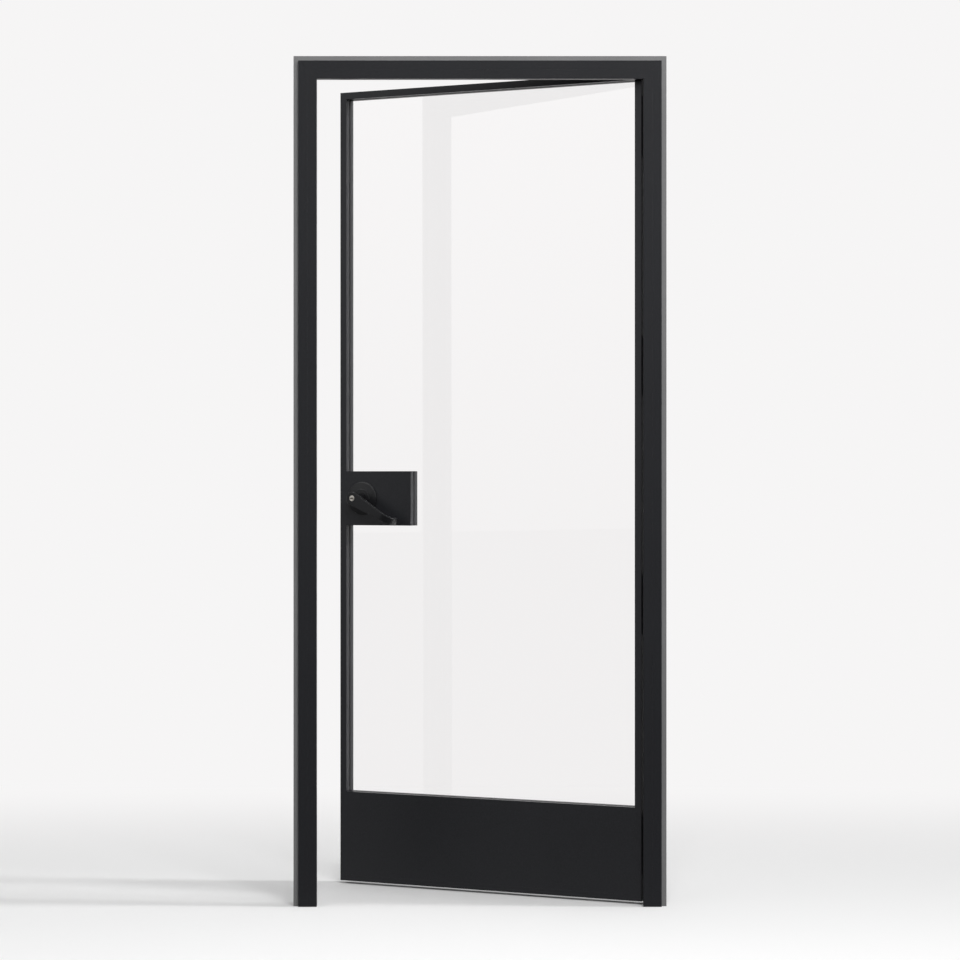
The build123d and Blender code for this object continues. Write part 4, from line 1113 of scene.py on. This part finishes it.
@dataclass
class LeverHandle:
    """A lever: a round head, a tapering arm that turns back to the door, and a flared neck.

    It is drawn with x along the arm, y across it and z out of the leaf.
    """

    head_radius: float = 18.0
    projection: float = 64.0
    thickness: float = 12.0
    reach: float = 135.0
    tip_width: float = 19.5
    taper_end: float = 113.0
    bend_radius: float = 34.0
    bend_steps: int = 14
    tip_clearance: float = 14.0
    arm_steps: int = 4
    edge: float = 1.4
    edge_play: float = 0.2
    neck_radius: float = 14.0
    neck_start: float = 7.8
    throat: float = 4.0
    throat_fillet: float = 3.0
    root: float = 0.5
    socket_radius: float = 8.05
    socket_top: float = 38.8
    drop_angle: float = 29.5

    def half_width(self, x: float) -> float:
        """Half of the arm's width at a distance x from the head's axis."""
        return self.head_radius + (self.tip_width / 2 - self.head_radius) * min(x / self.taper_end, 1)

    def blade(self, name: str) -> Workpiece:
        """Makes the head, the arm and its return, with rounded edges.

        Args:
            name: the piece's name.

        Returns:
            The blade on the bench.
        """
        back, front = self.projection - self.thickness, self.projection
        blade = Workpiece.turned(name, ((self.head_radius, back), (self.head_radius, front)))
        blade.saw((0, 0, 0), (1, 0, 0))
        blade.edit()
        blade.pick(lambda centre, normal: normal.x > 0.99)
        start, centre_height = self.reach - self.bend_radius, front - self.bend_radius
        here = 0.0
        for step in range(1, self.arm_steps + 1):
            x = start * step / self.arm_steps
            blade.lead((x - here, 0, 0), (1, self.half_width(x) / self.half_width(here), 1))
            here = x
        middle = self.bend_radius - self.thickness / 2
        turn = math.pi / 2 / self.bend_steps
        for step in range(1, self.bend_steps + 1):
            x = start + middle * math.sin(step * turn)
            blade.lead((0, 0, 0), (1, self.half_width(x) / self.half_width(here), 1))
            bpy.ops.transform.rotate(
                value=-turn, orient_axis="Y", orient_type="GLOBAL", center_override=(start, 0, centre_height)
            )
            here = x
        blade.lead((0, 0, self.tip_clearance - centre_height))
        blade.rest()
        blade.soften(self.edge)
        return blade

    def build(self, name: str, bore: Sequence[Pair]) -> Workpiece:
        """Makes a lever with its neck and bores.

        Args:
            name: the piece's name.
            bore: turned profile of what is let into its head.

        Returns:
            The lever on the bench.
        """
        lever = self.blade(name)
        back = self.projection - self.thickness
        flare = self.head_radius - self.edge - self.edge_play
        buried = flare + (flare - self.neck_radius) * self.root / self.throat
        neck = filleted((
            (self.neck_radius, self.neck_start, 0),
            (self.neck_radius, back - self.throat, self.throat_fillet), (buried, back + self.root, 0),
        ))
        lever.combine(Workpiece.turned("neck", neck), Join.ADD)
        socket = ((self.socket_radius, self.neck_start - 1), (self.socket_radius, self.socket_top))
        lever.combine(Workpiece.turned("socket", socket), Join.CUT)
        lever.combine(Workpiece.turned("bore", bore), Join.CUT)
        lever.true_up()
        return lever


@dataclass
class LockSet:
    """The lock box and everything that turns or slides in it."""

    plated: tuple[str, ...] = ("lock_chassis", "through_bolts", "latch_case")
    lever: LeverHandle = field(default_factory=LeverHandle)
    small_screw: Screw = field(default_factory=lambda: Screw(3.6, 2.0, 6.0))
    strike_screw: Screw = field(default_factory=lambda: Screw(3.6, 2.0, 12.0))
    rose_radius: float = 46.0
    rose_edge: float = 3.0
    rose_bevel: float = 2.0
    hub_radius: float = 25.0
    hub_height: float = 11.0
    hub_foot: float = 6.2
    hub_flare: float = 1.0
    rose_bore: float = 14.3
    cylinder_radius: float = 8.1
    cylinder_base: float = 40.0
    cylinder_floor: float = 42.0
    cylinder_front: float = 64.0
    plug_radius: float = 5.6
    plug_rim: float = 1.0
    rim_fillet: float = 0.35
    fit_play: float = 0.05
    turning_play: float = 0.3
    bore_flare: float = 0.5
    bore_rise: float = 0.1
    bore_sink: float = 2.0
    keyway: Pair = (8.8, 3.2)
    keyway_bulge: float = 4.6
    keyway_depth: float = 18.0
    bulge_step: float = 0.2
    bulge_lap: float = 0.01
    stem_radius: float = 5.0
    disc_radius: float = 9.3
    disc_thickness: float = 2.0
    disc_fillet: float = 0.6
    grip: Triple = (4.4, 15.0, 8.0)
    grip_root: float = 0.5
    grip_flat: float = 0.04
    grip_steps: int = 10
    grip_taper: Triple = (0.8, 0.94, 1.0)
    grip_edge: float = 0.5

    def dress(self, nodes: Nodes, finishes: FinishSet) -> None:
        """Gives the lock's kept nodes their finishes.

        Args:
            nodes: the fixed model's nodes.
            finishes: the door's finishes.
        """
        paint(nodes["lock_box"], finishes.black)
        paint_all(nodes, self.plated, finishes.zinc)
        paint(nodes["latch_faceplate"], finishes.steel)
        paint_all(nodes, ("latch_bolt", "spindle"), finishes.bright)

    def rose(self, name: str) -> Workpiece:
        """Makes a pressed rose with a bevelled rim and a raised hub.

        Args:
            name: the piece's name.

        Returns:
            The rose on the bench.
        """
        shoulder, hub = self.rose_edge + self.rose_bevel, self.hub_height
        corners = (
            (self.rose_radius, 0, 0), (self.rose_radius, self.rose_edge, 0.5),
            (self.rose_radius - self.rose_bevel, shoulder, 0.6),
            (self.hub_radius + self.hub_flare, self.hub_foot, 0.8), (self.hub_radius, hub, 0.8),
            (self.rose_bore, hub, 0.4), (self.rose_bore, 0, 0),
        )
        rose = Workpiece.turned(name, filleted(corners), facets=128)
        rose.open_through(0)
        rose.true_up()
        return rose

    def sleeve(self) -> Workpiece:
        """Makes the key cylinder's fixed sleeve with a rounded front rim.

        Returns:
            The sleeve on the bench.
        """
        hollow, front = self.plug_radius + self.fit_play, self.cylinder_front
        corners = (
            (self.cylinder_radius, self.cylinder_base, 0), (self.cylinder_radius, front, 1.0),
            (hollow, front, self.rim_fillet), (hollow, self.cylinder_floor, 0),
        )
        sleeve = Workpiece.turned("key_cylinder_sleeve", filleted(corners))
        sleeve.true_up()
        return sleeve

    def plug(self) -> Workpiece:
        """Makes the plug with its level keyway, which is wider at its right end.

        Returns:
            The plug on the bench.
        """
        front = self.cylinder_front
        corners = (
            (self.plug_radius, self.cylinder_floor + self.fit_play, 0),
            (self.plug_radius, front, self.rim_fillet), (self.plug_radius - self.plug_rim, front, 0),
        )
        plug = Workpiece.turned("key_plug_cut", filleted(corners))
        length, width = self.keyway
        bulge, deep = self.keyway_bulge, front - self.keyway_depth
        slots = (
            ((-length / 2, -width / 2, deep), (length / 2, width / 2, front + 1)),
            ((length / 2 - bulge, -bulge / 2, deep + self.bulge_step),
             (length / 2 + self.bulge_lap, bulge / 2, front + 1 + self.bulge_step)),
        )
        for low, high in slots:
            plug.combine(Workpiece.block("keyway", low, high), Join.CUT)
        plug.true_up()
        return plug

    def button(self) -> Workpiece:
        """Makes the turn button: a stem, a disc and an upright grip with rounded ends.

        Returns:
            The button on the bench.
        """
        seat = self.cylinder_front - self.disc_thickness + self.fit_play
        top = seat + self.disc_thickness
        corners = (
            (self.stem_radius, self.cylinder_base + 1, 0), (self.stem_radius, seat, 0),
            (self.disc_radius, seat, 0), (self.disc_radius, top, self.disc_fillet),
            (self.stem_radius, top, 0),
        )
        button = Workpiece.turned("thumb_turn_grip", filleted(corners))
        wide, tall, high = self.grip
        root, tip = seat + self.grip_root, seat + high
        grip = Workpiece.block("grip", (-wide / 2, -tall / 2, root), (wide / 2, tall / 2, tip))
        grip.edit()
        grip.pick_edges(lambda middle, along: abs(along.z) > 0.9)
        bpy.ops.mesh.bevel(offset=(wide - self.grip_flat) / 2, segments=self.grip_steps, affect="EDGES")
        bpy.ops.mesh.select_mode(type="FACE")
        grip.pick(lambda centre, normal: normal.z > 0.99)
        bpy.ops.transform.resize(value=self.grip_taper, center_override=(0, 0, tip))
        grip.rest()
        grip.soften(self.grip_edge, angle=60)
        button.combine(grip, Join.ADD)
        button.true_up()
        return button

    def bore(self, face: LeafFace) -> tuple[Pair, ...]:
        """Finds the profile of what a lever's head is bored out for.

        Args:
            face: the lever's side of the leaf.

        Returns:
            Radius and height of each ring.
        """
        lip, front = self.cylinder_front - self.bore_flare, self.cylinder_front + self.bore_rise
        if face is LeafFace.OUTSIDE:
            ring = self.cylinder_radius + self.fit_play
            return (ring, self.cylinder_base), (ring, lip), (ring + self.bore_flare + self.bore_rise, front)
        stem, disc = self.stem_radius + self.turning_play, self.disc_radius + self.turning_play
        seat = self.cylinder_front - self.disc_thickness
        flared, floor = disc + self.bore_flare, self.cylinder_base - self.bore_sink
        return (stem, floor), (stem, seat), (disc, seat), (disc, lip), (flared, front)

    def build(self, space: DoorSpace, finishes: FinishSet) -> None:
        """Makes and fits the roses, the levers, the key cylinder and the turn button.

        Args:
            space: the door's places.
            finishes: the door's finishes.
        """
        drop = math.radians(self.lever.drop_angle)
        arm_turn = {LeafFace.OUTSIDE: -drop, LeafFace.INSIDE: math.pi + drop}
        for face in LeafFace:
            place = space.lock_face(face)
            rose = self.rose(f"rose_{face.value}_turned")
            rose.put(place)
            rose.fit(finishes.trim, "black_trim", f"rose_{face.value}")
            lever = self.lever.build(f"lever_{face.value}_bent", self.bore(face))
            lever.put(place @ Matrix.Rotation(arm_turn[face], 4, "Z"))
            lever.fit(finishes.trim, "black_trim", f"lever_{face.value}")
        fittings = (
            (self.sleeve(), LeafFace.OUTSIDE, finishes.nickel, "nickel", "key_cylinder"),
            (self.plug(), LeafFace.OUTSIDE, finishes.nickel, "nickel", "key_plug"),
            (self.button(), LeafFace.INSIDE, finishes.trim, "black_trim", "thumb_turn"),
        )
        for piece, face, finish, slot, node in fittings:
            piece.put(space.lock_face(face))
            piece.fit(finish, slot, node)
        self.small_screw.fit_all("latch_screws", space, True, -1, finishes.steel)
        self.strike_screw.fit_all("strike_screws", space, False, 1, finishes.steel)


# Studio


@dataclass(frozen=True)
class Softbox:
    """A large soft lamp."""

    name: str
    place: Triple
    aim: Triple
    size: tuple[float, float]
    power: float
    mirrored: bool = True

    def hang(self) -> None:
        """Adds the lamp and points it."""
        lamp = bpy.data.lights.new(self.name, "AREA")
        lamp.shape = "RECTANGLE"
        lamp.size, lamp.size_y = self.size
        lamp.energy = self.power
        stand = bpy.data.objects.new(self.name, lamp)
        bpy.context.scene.collection.objects.link(stand)
        stand.location = self.place
        stand.rotation_euler = (Vector(self.aim) - Vector(self.place)).to_track_quat("-Z", "Y").to_euler()
        stand.visible_camera = False
        stand.visible_transmission = False
        stand.visible_glossy = self.mirrored


@dataclass(frozen=True)
class Panel:
    """A glow in the surroundings that changes as the direction nears an axis."""

    axis: Triple
    facing: Pair
    glow: Pair

    def wire(self, sky: Graph, direction: Socket) -> Socket:
        """Adds the panel's glow to the surroundings.

        Args:
            sky: the surroundings' tree.
            direction: where a ray goes.

        Returns:
            The glow.
        """
        facing = sky.add("ShaderNodeVectorMath", {0: direction, 1: self.axis}, operation="DOT_PRODUCT")
        return sky.ramp(facing["Value"], self.facing, self.glow, "SMOOTHSTEP")


@dataclass(frozen=True)
class Studio:
    """Pale floor and surroundings, soft lamps and the camera."""

    floor_albedo: float = 0.9
    floor_size: float = 80.0
    fade_span: Pair = (0.3, 2.8)
    fade_scale: Triple = (0.3, 1.0, 1.0)
    glow_span: Pair = (-0.5, 2.0)
    floor_glow: float = 0.04
    floor_bounce: float = 0.04
    horizon: Panel = Panel((0.0, 0.0, 1.0), (-0.16, 0.2), (0.02, 1.45))
    front_left: Panel = Panel((-0.766, -0.643, 0.0), (0.62, 0.95), (0.3, 1.0))
    right_side: Panel = Panel((0.98, -0.1, 0.15), (0.55, 0.95), (0.0, 2.2))
    ceiling: Panel = Panel((0.0, 0.0, 1.0), (0.45, 0.95), (0.0, 2.6))
    rear: Panel = Panel((0.0, 1.0, 0.0), (0.5, 0.9), (0.0, BACKDROP[1]))
    surroundings: float = 0.43
    camera_back: float = 7.133
    camera_height: float = 1.142
    camera_lens: float = 100.0
    camera_sensor: float = 36.0
    lamps: tuple[Softbox, ...] = (
        Softbox("front_softbox", (0.8, -4.6, 3.2), (0, 0, 1.4), (2.4, 2.0), 180, mirrored=False),
        Softbox("key_softbox", (1.8, -2.2, 3.6), (0, 0, 1.2), (3.0, 3.0), 15),
    )
    side_direction: Triple = (1.0, -0.055, 0.344)
    side_spread: float = 9.0
    side_strength: float = 2.0

    def build(self) -> None:
        """Sets up the floor, the surroundings, the lamps and the camera."""
        self.lay_floor()
        self.surround()
        for lamp in self.lamps:
            lamp.hang()
        self.light_side()
        self.stand_camera()
        bpy.context.scene.view_settings.view_transform = "Standard"

    def lay_floor(self) -> None:
        """Lays a matt floor that runs into the backdrop's colour away from the door."""
        clear_choice()
        bpy.ops.mesh.primitive_plane_add(size=self.floor_size)
        floor = bpy.context.active_object
        floor.name = "studio_floor"
        paint(floor, self.floor_finish())

    def floor_finish(self) -> Material:
        """Wires the floor: lit near the door, the backdrop's colour far from it.

        Returns:
            The material.
        """
        wiring = Wiring("studio_floor")
        wiring.set(Base_Color=(*(self.floor_albedo,) * 3, 1), Roughness=1.0, Specular_IOR_Level=0.0)
        place = wiring.stretched(self.fade_scale)
        away = wiring.add("ShaderNodeVectorMath", {0: place}, operation="LENGTH")["Value"]
        far = wiring.ramp(away, self.fade_span, curve="SMOOTHSTEP")
        depth = wiring.add("ShaderNodeSeparateXYZ", {0: wiring.place})["Y"]
        behind = wiring.ramp(depth, self.glow_span, (self.floor_glow, BACKDROP[1]))
        shiny = wiring.reckon("MULTIPLY", behind, wiring.rays()["Is Glossy Ray"])
        bounce = wiring.reckon("MAXIMUM", shiny, self.floor_bounce)
        dull = wiring.add("ShaderNodeEmission", {"Strength": bounce})[0]
        plain = wiring.add("ShaderNodeEmission", {"Color": (*BACKDROP, 1)})[0]
        seen = wiring.eye_rays()
        near = wiring.blend(seen, dull, wiring.shader.outputs["BSDF"])
        wiring.feed(wiring.surface, wiring.blend(wiring.reckon("MULTIPLY", far, seen), near, plain))
        return wiring.material

    def surround(self) -> None:
        """Makes the surroundings: the backdrop to the eye, dim to matt surfaces, panels to shiny ones."""
        world = bpy.data.worlds.new("studio")
        bpy.context.scene.world = world
        world.use_nodes = True
        sky = Graph(world.node_tree)
        direction = sky.add("ShaderNodeTexCoord", {})["Generated"]
        glow = sky.reckon("MULTIPLY", self.horizon.wire(sky, direction), self.front_left.wire(sky, direction))
        for panel in (self.right_side, self.ceiling, self.rear):
            glow = sky.reckon("MAXIMUM", glow, panel.wire(sky, direction))
        white = (1, 1, 1, 1)
        dim = sky.add("ShaderNodeBackground", {"Color": white, "Strength": self.surroundings})[0]
        shiny = sky.add("ShaderNodeBackground", {"Color": white, "Strength": glow})[0]
        plain = sky.add("ShaderNodeBackground", {"Color": (*BACKDROP, 1), "Strength": 1.0})[0]
        indirect = sky.blend(sky.rays()["Is Glossy Ray"], dim, shiny)
        sky.add("ShaderNodeOutputWorld", {"Surface": sky.blend(sky.eye_rays(), indirect, plain)})

    def light_side(self) -> None:
        """Adds the even light from the right that draws the long shadows."""
        lamp = bpy.data.lights.new("side_light", "SUN")
        lamp.energy = self.side_strength
        lamp.angle = math.radians(self.side_spread)
        stand = bpy.data.objects.new("side_light", lamp)
        bpy.context.scene.collection.objects.link(stand)
        stand.rotation_euler = Vector(self.side_direction).to_track_quat("Z", "Y").to_euler()

    def stand_camera(self) -> None:
        """Stands the camera straight in front of the frame."""
        data = bpy.data.cameras.new("camera")
        data.lens = self.camera_lens
        data.sensor_width = self.camera_sensor
        camera = bpy.data.objects.new("camera", data)
        bpy.context.scene.collection.objects.link(camera)
        camera.location = (0, -self.camera_back, self.camera_height)
        camera.rotation_euler = (math.radians(90), 0, 0)
        bpy.context.scene.camera = camera


def main() -> None:
    """Dresses the door, adds its modelled pieces and sets up the studio."""
    logging.basicConfig(level=logging.INFO, format="%(message)s")
    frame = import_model()
    space = DoorSpace.from_joints(frame["joints"])
    LOG.info("leaf stands %.1f degrees open", math.degrees(space.opening))
    finishes = FinishSet.mixed()
    lock = LockSet()
    for part in (DoorFrame(), DoorLeaf(), lock):
        part.dress(frame["nodes"], finishes)
        LOG.info("%s dressed", type(part).__name__)
    HingeRow().build(space, finishes)
    lock.build(space, finishes)
    Studio().build()
    LOG.info("studio built")


if __name__ == "__main__":
    main()
